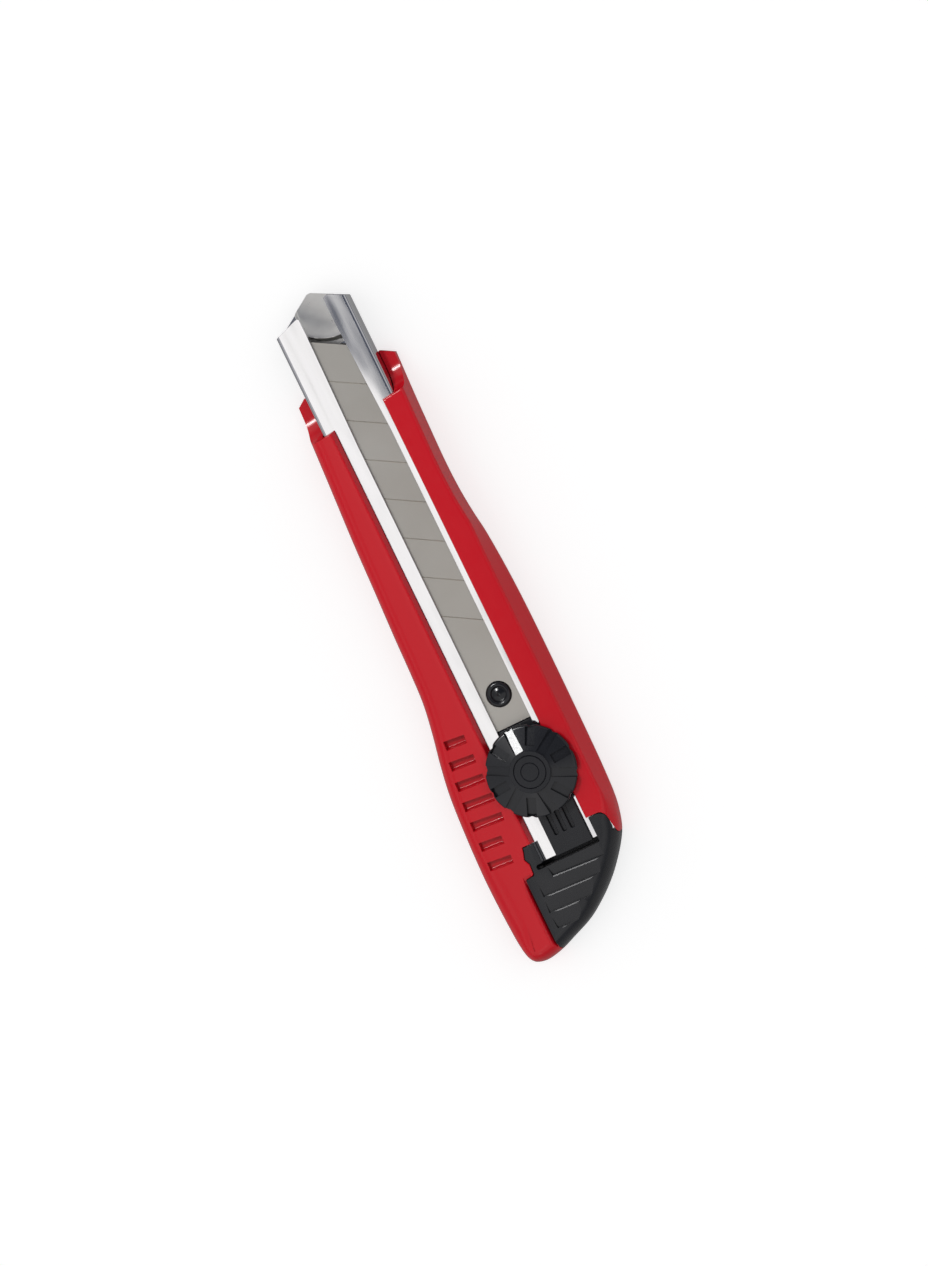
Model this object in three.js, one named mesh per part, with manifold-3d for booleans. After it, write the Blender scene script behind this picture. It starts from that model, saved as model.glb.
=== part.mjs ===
// Snap-off knife with an 18 mm blade and a screw lock wheel, lying on its back.
// Millimetres. +Y runs along the knife to the blade tip, +Z out of the front face,
// +X to the right seen from the front with the tip up. The origin is on the lock
// wheel's axis, in the plane of the handle's flat back.

import * as THREE from 'three';
import { mergeVertices } from 'three/addons/utils/BufferGeometryUtils.js';
import Module from 'manifold-3d';

const wasm = await Module();
wasm.setup();

// ---------------------------------------------------------------- driving dimensions

const CLEARANCE = 0.15;          // between the channel and the moulded handle around it
const CUT_MARGIN = 5;            // how far a cutting tool runs past the material
const PAST = 1;                  // the same, where a neighbouring wall stands close
const BEYOND = 200;              // further out than any part of the knife
const ROUND_SEGMENTS = 36;       // facets of a full round

// Handle, seen from the front
const BACK_THICKNESS = 2.2;
const HANDLE_TOP_Z = 9.0;
const EDGE_ROUND_HEIGHT = 3.2;   // rounding between the front face and the side walls
const EDGE_ROUND_WIDTH = 1.8;
const LEFT_OUTLINE = [           // nose to tail
  [-14.1, 98.5], [-14.7, 86], [-16.0, 65], [-17.0, 41], [-17.7, 25], [-19.0, 17.3],
  [-21.3, 5.4], [-22.6, -8], [-23.05, -22], [-22.4, -34.5],
];
const RIGHT_OUTLINE = [          // tail to nose
  [0.2, -33.55], [7.9, -25.8], [11.9, -18.5], [13.3, -10], [13.7, 5], [13.8, 26], [13.6, 41],
  [12.1, 59], [11.4, 71], [11.7, 86], [12.3, 100.2],
];
const TAIL_LOW_POINT = [-18.2, -41.4];
const TAIL_CORNER_UPPER = [-22.5, -38.4];   // the two points that round the tail's corner
const TAIL_CORNER_LOWER = [-22.3, -41.3];
const LEFT_EAR_TIP = [-12.0, 99.9];
const RIGHT_EAR_TIP = [9.2, 102];

// Rails: the handle's front face left and right of the open slot
const SLOT_LEFT_TOP_X = -8.2;
const SLOT_LEFT_LOW_X = -7.64;
const SLOT_RIGHT_TOP_X = 6.48;
const SLOT_RIGHT_LOW_X = 5.9;
const RAIL_FRONT_Y = 90.5;
const EAR_TOP_Z = 2.8;           // low ears ahead of the rails, joined to them by a concave sweep
const EAR_SWEEP_RADIUS = 6.2;
const NOSE_SLANT = 0.105;        // the rails end on a line slanted across the knife

// Thumb pockets in the left rail
const POCKET_COUNT = 7;
const POCKET_PITCH = 4.92;
const POCKET_FIRST_UPPER_Y = 14.15;   // upper edge at the right end
const POCKET_HEIGHT = 2.12;
const POCKET_UPPER_RISE = 0.088;      // both long edges rise to the left, per millimetre of length
const POCKET_LOWER_RISE = 0.033;
const POCKET_DEPTH = 1.9;
const POCKET_FROM_OUTLINE = 3.3;
const POCKET_RIGHT_X = -11.05;
const POCKET_RIGHT_X_LOW = -13.55;    // the lowest pockets stop short of the cap's tab
const POCKET_LOW_FROM = 5;

// Steel channel
const SHEET = 0.6;
const CHANNEL_LEFT_X = -10.8;
const CHANNEL_RIGHT_X = 8.9;
const CHANNEL_BACK_Z = 2.4;
const LIP_TOP_Z = 7.0;
const BEND_RADIUS = 0.9;
const LIP_LEFT_EDGE_X = -4.24;
const LIP_RIGHT_EDGE_X = 4.55;
const LIP_LEFT_TIP_X = -3.73;    // the gap between the lips narrows towards the tip
const LIP_RIGHT_TIP_X = 3.63;
const LIP_TAPER_FROM_Y = 84;
const LIP_TAPER_TO_Y = 113;
const CHANNEL_REAR_Y = -20.0;
const TIP_APEX = [0, 121.0];
const TIP_BLUNT_HALF_WIDTH = 1.4;
const TIP_BLUNT_LENGTH = 0.84;
const FLOOR_LEFT_CORNER_Y = 114.7;
const FLOOR_RIGHT_CORNER_Y = 116.5;
const LEFT_LIP_FRONT = [[-10.8, 114.7], [-4.3, 116.7], [-3.8, 116.4]];
const RIGHT_LIP_FRONT = [[3.7, 118.4], [5.1, 118.8], [8.9, 116.9]];
const RAMP_TOP_Z = 5.5;          // pressed-up floor that carries the blade near the tip
const RAMP_LEFT_X = -3.6;
const RAMP_RIGHT_X = 3.5;
const RAMP_REAR_Y = 110.3;
const RAMP_CREST_Y = 111.0;
const RAMP_CREST_END_Y = 114.2;
const RAMP_FRONT_Y = 119.4;
const RAMP_END_INSET = 0.05;     // the ramp's ends stay this far inside the floor sheet's faces

// Blade
const BLADE_LEFT_X = -9.95;      // cutting edge
const BLADE_WIDTH = 18;
const BLADE_THICKNESS = 0.5;
const BLADE_BOTTOM_Z = 5.8;
const BLADE_BEVEL = 1.7;
const BLADE_EDGE_THICKNESS = 0.06;
const BLADE_END_Y = 108.4;       // slanted front end, measured on the wheel's centre line
const BLADE_TANG_Y = 11.3;
const BLADE_SLANT = THREE.MathUtils.degToRad(30);
const SCORE_COUNT = 7;
const SCORE_PITCH = 10;
const SCORE_WIDTH = 0.3;
const SCORE_DEPTH = 0.14;
const BLADE_HOLE_Y = 19.0;
const BLADE_HOLE_RADIUS = 3.1;

// Slider
const SLIDER_LEFT_X = -9.8;
const SLIDER_RIGHT_X = 7.9;
const SLIDER_BOTTOM_Z = 3.1;
const SLIDER_FRONT_Y = 24;
const SLIDER_REAR_Y = -20.3;
const SLIDER_UNDER_BLADE_Z = 5.7;
const SLIDER_UNDER_LIP_Z = 6.25;
const SLIDER_STEP_Y = 11.0;
const TAIL_LEFT_X = -4.1;
const TAIL_RIGHT_X = 4.25;
const TAIL_FLANGE_RIGHT_X = 5.3;      // the tail's top laps over the right lip
const TAIL_FLANGE_BOTTOM_Z = 7.1;
const TAIL_TOP_Z = 7.5;
const TAIL_FRONT_Y = -6.4;
const TAIL_GROOVE_XS = [-1.8, 0.36, 2.4];
const TAIL_GROOVE_WIDTH = 1.0;
const TAIL_GROOVE_DEPTH = 0.8;
const TAIL_GROOVE_END_Y = -15.8;
const BOSS_RADIUS = 2.85;
const BOSS_TOP_Z = 6.9;
const BOSS_DIMPLE_RADIUS = 0.7;
const BOSS_DIMPLE_DEPTH = 0.5;

// Clamp: plate and stud under the lips, washer and wheel above them
const PLATE_LEFT_X = -9.3;
const PLATE_RIGHT_X = 7.4;
const PLATE_HALF_LENGTH = 5.4;
const PLATE_BOTTOM_Z = 5.15;
const PLATE_TOP_Z = 6.35;
const PLATE_RECESS_GAP = 0.3;
const RECESS_SPARE = 0.1;        // room left under the plate when it has dropped
const CLAMP_DROP = 0.6;          // how far the plate falls when the wheel is loosened
const STUD_RADIUS = 2.5;
const STUD_TOP_Z = 10.5;
const STUD_HEAD_RADIUS = 3.6;
const STUD_HEAD_HEIGHT = 0.8;
const STUD_SQUARE = 3.8;
const STUD_NECK_OVERLAP = 0.2;   // the square neck starts inside the head
const STUD_CLEARANCE = 0.3;
const FIT_GAP = 0.05;
const WASHER_OUTER_RADIUS = 5.3;
const WASHER_INNER_RADIUS = 2.8;
const WASHER_BOTTOM_Z = 7.02;
const WASHER_THICKNESS = 0.55;

// Lock wheel
const WHEEL_RADIUS = 10.8;
const WHEEL_SEAT_Z = 7.62;       // underside of the hub, on the washer
const WHEEL_HUB_RADIUS = 4.9;
const RIM_BOTTOM_Z = 9.25;
const RIM_TOP_Z = 10.75;
const HUB_TOP_Z = 11.9;
const HUB_SHOULDER_DROP = 0.2;   // the hub's top edge is broken by a small chamfer
const HUB_SHOULDER_WIDTH = 0.3;
const RIM_EDGE_ROUND = 0.5;
const WHEEL_SLOT_COUNT = 6;
const WHEEL_SLOT_TURN = THREE.MathUtils.degToRad(4.75);
const WHEEL_POCKET_TURN = THREE.MathUtils.degToRad(-25);
const WHEEL_SLOT_WIDTH = 2.2;
const WHEEL_SLOT_DEPTH = 0.8;
const WHEEL_POCKET_FROM = 6.1;
const WHEEL_POCKET_TO = 10.3;
const RIM_NOTCH_COUNT = 12;
const RIM_NOTCH_RADIUS = 0.7;
const RIM_NOTCH_OUTSIDE = 0.3;   // the notches' centres lie this far outside the rim
const INSERT_RADIUS = 3.6;
const INSERT_BOTTOM_Z = 7.9;
const INSERT_TOP_Z = 10.4;
const INSERT_BORE_RADIUS = 2.6;
const PLUG_RADIUS = 3.75;
const PLUG_BOTTOM_Z = 10.8;
const PLUG_RING_RADIUS = 2.1;
const PLUG_RING_WIDTH = 0.35;
const PLUG_RING_DEPTH = 0.25;

// End cap
const CAP_GAP = 0.12;
const TAB_TOP_Y = -15.1;
const TAB_LEFT_X = -10.5;
const TAB_SHOULDER_X = -11.15;
const TAB_SHOULDER_Y = -16.9;
const TAB_SHOULDER_RUN = 0.7;
const TAB_ROUND = 1.5;
const TAB_INNER_LEFT_X = -7.5;
const TAB_INNER_RIGHT_X = 6.9;
const TAB_RIGHT_X = 11.0;
const TAB_BOTTOM_Z = 7.15;
const CAP_STEP_Y = -21.8;
const CAP_STEP_X = -13.1;
const CAP_FRONT_Y = -20.3;
const TONGUE_TIP_Y = -22.2;
const SLIT_LENGTH_Y = 1.0;
const SLIT_LEFT_X = -9.2;
const SLIT_RIGHT_X = 6.4;
const SLIT_FLOOR_Z = 1.6;
const RIB_DEPTH = 0.6;
const RIB_FOOT = 0.22;           // length of each rib's steep side
const RIB_LEFT_XS = [-6.8, -10.8, -11.0, -11.1];
const RIB_RIGHT_ENDS = [         // the slit's edge, then the right-hand end of each crest
  [6.4, -21.3], [6.5, -24.2], [4.8, -27.7], [0.6, -31.5], [-5.6, -35.5],
];

// ---------------------------------------------------------------- materials

function plastic(colour, roughness) {
  return new THREE.MeshStandardMaterial({ color: colour, roughness, metalness: 0 });
}

function metal(colour, roughness) {
  return new THREE.MeshStandardMaterial({ color: colour, roughness, metalness: 1 });
}

const RED = plastic(0xbb1a28, 0.3);
const BLACK = plastic(0x202225, 0.35);
const BRIGHT_STEEL = metal(0xd8dadc, 0.2);
const BLADE_STEEL = metal(0xa6a299, 0.35);
const ZINC_STEEL = metal(0xb4b6b8, 0.4);
const BRASS = metal(0xc9a24a, 0.35);

// ---------------------------------------------------------------- solids from geometries

function solidOf(geometry) {
  const bare = geometry.index ? geometry.toNonIndexed() : geometry.clone();
  bare.deleteAttribute('normal');
  bare.deleteAttribute('uv');
  const merged = mergeVertices(bare, 1e-4);
  const mesh = new wasm.Mesh({
    numProp: 3,
    vertProperties: new Float32Array(merged.attributes.position.array),
    triVerts: new Uint32Array(merged.index.array),
  });
  return new wasm.Manifold(mesh);
}

function geometryOf(solid) {
  const mesh = solid.getMesh();
  const geometry = new THREE.BufferGeometry();
  geometry.setAttribute('position', new THREE.BufferAttribute(mesh.vertProperties, 3));
  geometry.setIndex(new THREE.BufferAttribute(mesh.triVerts, 1));
  return geometry;
}

function shapeOf(points) {
  return new THREE.Shape(points.map(([x, y]) => new THREE.Vector2(x, y)));
}

function extrusion(shape, depth) {
  return new THREE.ExtrudeGeometry(shape, { depth, bevelEnabled: false, curveSegments: 8 });
}

// A plan shape (x, y) made into a prism between two heights
function prismZ(shape, bottom, top) {
  return solidOf(extrusion(shape, top - bottom).translate(0, 0, bottom));
}

// A cross-section (x, z) run along the knife between two stations
function prismY(shape, rear, front) {
  return solidOf(extrusion(shape, front - rear).rotateX(Math.PI / 2).translate(0, front, 0));
}

// A side view (y, z) run across the knife, then slanted or turned by a matrix
function prismX(shape, left, right, placing = new THREE.Matrix4()) {
  const turn = new THREE.Matrix4().makeBasis(
    new THREE.Vector3(0, 1, 0),
    new THREE.Vector3(0, 0, 1),
    new THREE.Vector3(1, 0, 0),
  );
  const prism = extrusion(shape, right - left).applyMatrix4(turn).translate(left, 0, 0);
  return solidOf(prism.applyMatrix4(placing));
}

function block([x0, y0, z0], [x1, y1, z1]) {
  const box = new THREE.BoxGeometry(x1 - x0, y1 - y0, z1 - z0);
  return solidOf(box.translate((x0 + x1) / 2, (y0 + y1) / 2, (z0 + z1) / 2));
}

function diskZ(radius, bottom, top, x = 0, y = 0) {
  const disk = new THREE.CylinderGeometry(radius, radius, top - bottom, ROUND_SEGMENTS);
  return solidOf(disk.rotateX(Math.PI / 2).translate(x, y, (bottom + top) / 2));
}

// ---------------------------------------------------------------- handle

function vectors(points) {
  return points.map(([x, y]) => new THREE.Vector2(x, y));
}

// Plan outline of handle and end cap together
function closedOutline() {
  const outline = new THREE.Shape();
  outline.moveTo(...LEFT_EAR_TIP);
  outline.lineTo(...LEFT_OUTLINE[0]);
  outline.splineThru(vectors(LEFT_OUTLINE.slice(1)));
  outline.bezierCurveTo(...TAIL_CORNER_UPPER, ...TAIL_CORNER_LOWER, ...TAIL_LOW_POINT);
  outline.splineThru(vectors(RIGHT_OUTLINE));
  outline.lineTo(...RIGHT_EAR_TIP);
  outline.closePath();
  return outline;
}

// The outer form that handle and cap are both cut from: rounded at the front, flat at the back
function outerForm() {
  const blank = new THREE.ExtrudeGeometry(closedOutline(), {
    depth: HANDLE_TOP_Z - EDGE_ROUND_HEIGHT + CUT_MARGIN,
    curveSegments: 3,
    bevelThickness: EDGE_ROUND_HEIGHT,
    bevelSize: EDGE_ROUND_WIDTH,
    bevelOffset: -EDGE_ROUND_WIDTH,
    bevelSegments: 3,
  });
  const front = solidOf(blank.translate(0, 0, -CUT_MARGIN));
  return front.intersect(block([-BEYOND, -BEYOND, 0], [BEYOND, BEYOND, HANDLE_TOP_Z]));
}

function channelTunnel() {
  return block(
    [CHANNEL_LEFT_X - CLEARANCE, CAP_FRONT_Y - CUT_MARGIN, CHANNEL_BACK_Z - CLEARANCE],
    [CHANNEL_RIGHT_X + CLEARANCE, TIP_APEX[1], LIP_TOP_Z + CLEARANCE / 2],
  );
}

function railSlot() {
  const wall = HANDLE_TOP_Z - LIP_TOP_Z;
  const draftLeft = (SLOT_LEFT_LOW_X - SLOT_LEFT_TOP_X) / wall;
  const draftRight = (SLOT_RIGHT_TOP_X - SLOT_RIGHT_LOW_X) / wall;
  const low = LIP_TOP_Z - PAST;
  const high = HANDLE_TOP_Z + PAST;
  const section = shapeOf([
    [SLOT_LEFT_LOW_X + draftLeft * PAST, low],
    [SLOT_RIGHT_LOW_X - draftRight * PAST, low],
    [SLOT_RIGHT_TOP_X + draftRight * PAST, high],
    [SLOT_LEFT_TOP_X - draftLeft * PAST, high],
  ]);
  return prismY(section, CAP_FRONT_Y - CUT_MARGIN, TIP_APEX[1]);
}

// Everything above the ears, ahead of the rails
function earSpace() {
  const radius = EAR_SWEEP_RADIUS;
  const ahead = RAIL_FRONT_Y + 3 * radius;
  const side = new THREE.Shape();
  side.moveTo(RAIL_FRONT_Y, HANDLE_TOP_Z + PAST);
  side.lineTo(RAIL_FRONT_Y, HANDLE_TOP_Z);
  side.absarc(RAIL_FRONT_Y + radius, EAR_TOP_Z + radius, radius, Math.PI, 1.5 * Math.PI, false);
  side.lineTo(ahead, EAR_TOP_Z);
  side.lineTo(ahead, HANDLE_TOP_Z + PAST);
  side.closePath();
  const slant = new THREE.Matrix4().makeShear(NOSE_SLANT, 0, 0, 0, 0, 0);
  return prismX(side, -BEYOND, BEYOND, slant);
}

function leftOutlineX(y) {
  const next = LEFT_OUTLINE.findIndex((point) => point[1] <= y);
  const [x0, y0] = LEFT_OUTLINE[next - 1];
  const [x1, y1] = LEFT_OUTLINE[next];
  return x0 + ((x1 - x0) * (y - y0)) / (y1 - y0);
}

function thumbPocket(index) {
  const upper = POCKET_FIRST_UPPER_Y - index * POCKET_PITCH;
  const lower = upper - POCKET_HEIGHT;
  const right = index < POCKET_LOW_FROM ? POCKET_RIGHT_X : POCKET_RIGHT_X_LOW;
  const left = leftOutlineX(upper) + POCKET_FROM_OUTLINE;
  const length = right - left;
  const plan = shapeOf([
    [right, upper],
    [left, upper + POCKET_UPPER_RISE * length],
    [left, lower + POCKET_LOWER_RISE * length],
    [right, lower],
  ]);
  return prismZ(plan, HANDLE_TOP_Z - POCKET_DEPTH, HANDLE_TOP_Z + PAST);
}

// Plan regions of the end cap, grown by a gap when they are cut out of the handle
function capBodyRegion(gap) {
  return shapeOf([
    [CAP_STEP_X - gap, -BEYOND],
    [BEYOND, -BEYOND],
    [BEYOND, TONGUE_TIP_Y + gap],
    [TAB_RIGHT_X + gap, TONGUE_TIP_Y + gap],
    [TAB_RIGHT_X + gap, CAP_FRONT_Y],
    [TAB_SHOULDER_X - gap, CAP_FRONT_Y],
    [TAB_SHOULDER_X - gap, CAP_STEP_Y + gap],
    [CAP_STEP_X - gap, CAP_STEP_Y + gap],
  ]);
}

function capTabRegion(gap) {
  const right = TAB_RIGHT_X + gap;
  const top = TAB_TOP_Y + gap;
  const tabs = new THREE.Shape();
  tabs.moveTo(TAB_SHOULDER_X - gap, CAP_FRONT_Y - PAST);
  tabs.lineTo(right, CAP_FRONT_Y - PAST);
  tabs.lineTo(right, top - TAB_ROUND);
  tabs.quadraticCurveTo(right, top, right - TAB_ROUND, top);
  tabs.lineTo(TAB_LEFT_X - gap, top);
  tabs.lineTo(TAB_LEFT_X - gap, TAB_SHOULDER_Y);
  tabs.lineTo(TAB_SHOULDER_X - gap, TAB_SHOULDER_Y - TAB_SHOULDER_RUN);
  tabs.closePath();
  return tabs;
}

function capSpace(gap, tabBottom) {
  return prismZ(capBodyRegion(gap), -PAST, HANDLE_TOP_Z + PAST)
    .add(prismZ(capTabRegion(gap), tabBottom, HANDLE_TOP_Z + PAST));
}

function handleBody() {
  let body = outerForm()
    .subtract(channelTunnel())
    .subtract(railSlot())
    .subtract(earSpace())
    .subtract(capSpace(CAP_GAP, LIP_TOP_Z));
  for (let i = 0; i < POCKET_COUNT; i += 1) {
    body = body.subtract(thumbPocket(i));
  }
  return body;
}

// ---------------------------------------------------------------- end cap

function snappingSlit() {
  const y0 = CAP_FRONT_Y - SLIT_LENGTH_Y;
  const radius = SLIT_LENGTH_Y / 2;
  const mouth = new THREE.Shape();
  mouth.moveTo(SLIT_RIGHT_X, y0);
  mouth.lineTo(SLIT_RIGHT_X, CAP_FRONT_Y + PAST);
  mouth.lineTo(SLIT_LEFT_X + radius, CAP_FRONT_Y + PAST);
  mouth.lineTo(SLIT_LEFT_X + radius, CAP_FRONT_Y);
  mouth.absarc(SLIT_LEFT_X + radius, y0 + radius, radius, Math.PI / 2, 1.5 * Math.PI, false);
  mouth.closePath();
  return prismZ(mouth, SLIT_FLOOR_Z, HANDLE_TOP_Z + PAST);
}

// One saw-tooth: the face falls gently from a crest to the steep side of the next one
function ribCut(index) {
  const [upperRight, upper] = RIB_RIGHT_ENDS[index];
  const [lowerRight, lower] = RIB_RIGHT_ENDS[index + 1];
  const left = RIB_LEFT_XS[index];
  const side = shapeOf([
    [upper, HANDLE_TOP_Z + PAST],
    [upper, HANDLE_TOP_Z],
    [lower + RIB_FOOT, HANDLE_TOP_Z - RIB_DEPTH],
    [lower, HANDLE_TOP_Z],
    [lower, HANDLE_TOP_Z + PAST],
  ]);
  const plan = shapeOf([
    [left, lower - PAST],
    [lowerRight, lower],
    [upperRight, upper],
    [left, upper + PAST],
  ]);
  return prismX(side, left, BEYOND).intersect(prismZ(plan, 0, HANDLE_TOP_Z + CUT_MARGIN));
}

function endCap() {
  const slotBetweenTabs = block(
    [TAB_INNER_LEFT_X, CAP_FRONT_Y, SLIT_FLOOR_Z],
    [TAB_INNER_RIGHT_X, TAB_TOP_Y + PAST, HANDLE_TOP_Z + PAST],
  );
  let cap = outerForm()
    .intersect(capSpace(0, TAB_BOTTOM_Z))
    .subtract(slotBetweenTabs)
    .subtract(snappingSlit());
  for (let i = 0; i < RIB_LEFT_XS.length; i += 1) {
    cap = cap.subtract(ribCut(i));
  }
  return cap;
}

// ---------------------------------------------------------------- steel channel

// Bent sheet seen from the tail: floor, two walls and two lips turned inwards
function channelSection() {
  const outer = BEND_RADIUS;
  const inner = BEND_RADIUS - SHEET;
  const left = CHANNEL_LEFT_X + outer;
  const right = CHANNEL_RIGHT_X - outer;
  const low = CHANNEL_BACK_Z + outer;
  const high = LIP_TOP_Z - outer;
  const quarter = Math.PI / 2;
  const section = new THREE.Shape();
  section.moveTo(LIP_LEFT_TIP_X + PAST, LIP_TOP_Z);
  section.absarc(left, high, outer, quarter, 2 * quarter, false);
  section.absarc(left, low, outer, 2 * quarter, 3 * quarter, false);
  section.absarc(right, low, outer, 3 * quarter, 4 * quarter, false);
  section.absarc(right, high, outer, 0, quarter, false);
  section.lineTo(LIP_RIGHT_TIP_X, LIP_TOP_Z);
  section.lineTo(LIP_RIGHT_TIP_X, LIP_TOP_Z - SHEET);
  section.absarc(right, high, inner, quarter, 0, true);
  section.absarc(right, low, inner, 0, -quarter, true);
  section.absarc(left, low, inner, -quarter, -2 * quarter, true);
  section.absarc(left, high, inner, 2 * quarter, quarter, true);
  section.lineTo(LIP_LEFT_TIP_X + PAST, LIP_TOP_Z - SHEET);
  section.closePath();
  return section;
}

// Plan of the gap between the lips
function lipGap() {
  const gap = new THREE.Shape();
  gap.moveTo(LIP_LEFT_EDGE_X, CHANNEL_REAR_Y - PAST);
  gap.lineTo(LIP_RIGHT_EDGE_X, CHANNEL_REAR_Y - PAST);
  gap.lineTo(LIP_RIGHT_EDGE_X, LIP_TAPER_FROM_Y);
  gap.lineTo(LIP_RIGHT_TIP_X, LIP_TAPER_TO_Y);
  gap.lineTo(LIP_RIGHT_TIP_X, TIP_APEX[1] + PAST);
  gap.lineTo(LIP_LEFT_TIP_X, TIP_APEX[1] + PAST);
  gap.lineTo(LIP_LEFT_TIP_X, LIP_TAPER_TO_Y);
  gap.lineTo(LIP_LEFT_EDGE_X, LIP_TAPER_FROM_Y);
  gap.closePath();
  return prismZ(gap, CHANNEL_BACK_Z + 2 * SHEET, LIP_TOP_Z + PAST);
}

// Everything the arrow-shaped tip leaves, in plan
function tipPlan() {
  const bluntY = TIP_APEX[1] - TIP_BLUNT_LENGTH;
  return shapeOf([
    [CHANNEL_LEFT_X - PAST, CHANNEL_REAR_Y - PAST],
    [CHANNEL_RIGHT_X + PAST, CHANNEL_REAR_Y - PAST],
    [CHANNEL_RIGHT_X + PAST, FLOOR_RIGHT_CORNER_Y],
    [CHANNEL_RIGHT_X, FLOOR_RIGHT_CORNER_Y],
    [TIP_BLUNT_HALF_WIDTH, bluntY],
    TIP_APEX,
    [-TIP_BLUNT_HALF_WIDTH, bluntY],
    [CHANNEL_LEFT_X, FLOOR_LEFT_CORNER_Y],
    [CHANNEL_LEFT_X - PAST, FLOOR_LEFT_CORNER_Y],
  ]);
}

// What is cut away above the floor ahead of the lips' front edges
function lipFronts() {
  const ahead = TIP_APEX[1] + CUT_MARGIN;
  const leftSide = CHANNEL_LEFT_X - PAST;
  const rightSide = CHANNEL_RIGHT_X + PAST;
  const plan = shapeOf([
    [leftSide, FLOOR_LEFT_CORNER_Y],
    ...LEFT_LIP_FRONT,
    ...RIGHT_LIP_FRONT,
    [rightSide, FLOOR_RIGHT_CORNER_Y],
    [rightSide, ahead],
    [leftSide, ahead],
  ]);
  return prismZ(plan, CHANNEL_BACK_Z + BEND_RADIUS, LIP_TOP_Z + PAST);
}

// The pressed ramp: sheet that leaves the floor, carries the blade and comes down at the tip
function ramp() {
  const low = CHANNEL_BACK_Z + RAMP_END_INSET;
  const high = CHANNEL_BACK_Z + SHEET - RAMP_END_INSET;
  const underside = RAMP_TOP_Z - SHEET;
  const rear = RAMP_REAR_Y - 1.5 * SHEET;
  const side = shapeOf([
    [rear, low],
    [RAMP_REAR_Y, low],
    [RAMP_CREST_Y + SHEET, underside],
    [RAMP_CREST_END_Y - SHEET / 2, underside],
    [RAMP_FRONT_Y - SHEET, low],
    [RAMP_FRONT_Y, low],
    [RAMP_FRONT_Y, high],
    [RAMP_CREST_END_Y, RAMP_TOP_Z],
    [RAMP_CREST_Y, RAMP_TOP_Z],
    [rear, high],
  ]);
  return prismX(side, RAMP_LEFT_X, RAMP_RIGHT_X);
}

function rampOpening() {
  return block(
    [RAMP_LEFT_X, RAMP_REAR_Y - SHEET / 2, CHANNEL_BACK_Z - PAST],
    [RAMP_RIGHT_X, RAMP_FRONT_Y - 1.5 * SHEET, CHANNEL_BACK_Z + SHEET + PAST],
  );
}

function guideChannel() {
  const sheet = prismY(channelSection(), CHANNEL_REAR_Y, TIP_APEX[1] + PAST);
  return sheet
    .subtract(lipGap())
    .subtract(rampOpening())
    .add(ramp())
    .intersect(prismZ(tipPlan(), 0, LIP_TOP_Z + PAST))
    .subtract(lipFronts());
}

// ---------------------------------------------------------------- blade

function bladePlan() {
  const rise = Math.tan(BLADE_SLANT);
  const right = BLADE_LEFT_X + BLADE_WIDTH;
  return shapeOf([
    [BLADE_LEFT_X, BLADE_TANG_Y],
    [right, BLADE_TANG_Y],
    [right, BLADE_END_Y - right * rise],
    [BLADE_LEFT_X, BLADE_END_Y - BLADE_LEFT_X * rise],
  ]);
}

// Flat strip with the cutting edge ground on the left
function bladeSection() {
  const bottom = BLADE_BOTTOM_Z;
  const top = BLADE_BOTTOM_Z + BLADE_THICKNESS;
  const middle = (bottom + top) / 2;
  const edge = BLADE_EDGE_THICKNESS / 2;
  return shapeOf([
    [BLADE_LEFT_X, middle - edge],
    [BLADE_LEFT_X + BLADE_BEVEL, bottom],
    [BLADE_LEFT_X + BLADE_WIDTH + PAST, bottom],
    [BLADE_LEFT_X + BLADE_WIDTH + PAST, top],
    [BLADE_LEFT_X + BLADE_BEVEL, top],
    [BLADE_LEFT_X, middle + edge],
  ]);
}

function scoreLine(index) {
  const top = BLADE_BOTTOM_Z + BLADE_THICKNESS;
  const half = SCORE_WIDTH / 2;
  const groove = shapeOf([
    [-half, SCORE_DEPTH / 2],
    [0, -SCORE_DEPTH],
    [half, SCORE_DEPTH / 2],
  ]);
  const length = 2 * BLADE_WIDTH;
  const bar = extrusion(groove, length).translate(0, 0, -length / 2);
  bar.rotateX(Math.PI / 2).rotateZ(Math.PI / 2 - BLADE_SLANT);
  const y = BLADE_END_Y - (index + 1) * SCORE_PITCH;
  return solidOf(bar.translate(0, y, top));
}

function snapBlade() {
  const below = BLADE_BOTTOM_Z - PAST;
  const above = BLADE_BOTTOM_Z + BLADE_THICKNESS + PAST;
  const hole = diskZ(BLADE_HOLE_RADIUS, below, above, 0, BLADE_HOLE_Y);
  let blade = prismY(bladeSection(), BLADE_TANG_Y - PAST, BLADE_END_Y + BLADE_WIDTH)
    .intersect(prismZ(bladePlan(), below, above))
    .subtract(hole);
  for (let i = 0; i < SCORE_COUNT; i += 1) {
    blade = blade.subtract(scoreLine(i));
  }
  return blade;
}

// ---------------------------------------------------------------- slider and clamp

function clampRecess() {
  const gap = PLATE_RECESS_GAP;
  const floor = PLATE_BOTTOM_Z - CLAMP_DROP - RECESS_SPARE;
  const plateSpace = block(
    [SLIDER_LEFT_X - PAST, -PLATE_HALF_LENGTH - gap, floor],
    [SLIDER_RIGHT_X + PAST, PLATE_HALF_LENGTH + gap, SLIDER_UNDER_LIP_Z + PAST],
  );
  const headSpace = diskZ(STUD_HEAD_RADIUS + gap, floor - STUD_HEAD_HEIGHT, floor + PAST);
  return plateSpace.add(headSpace);
}

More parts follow.
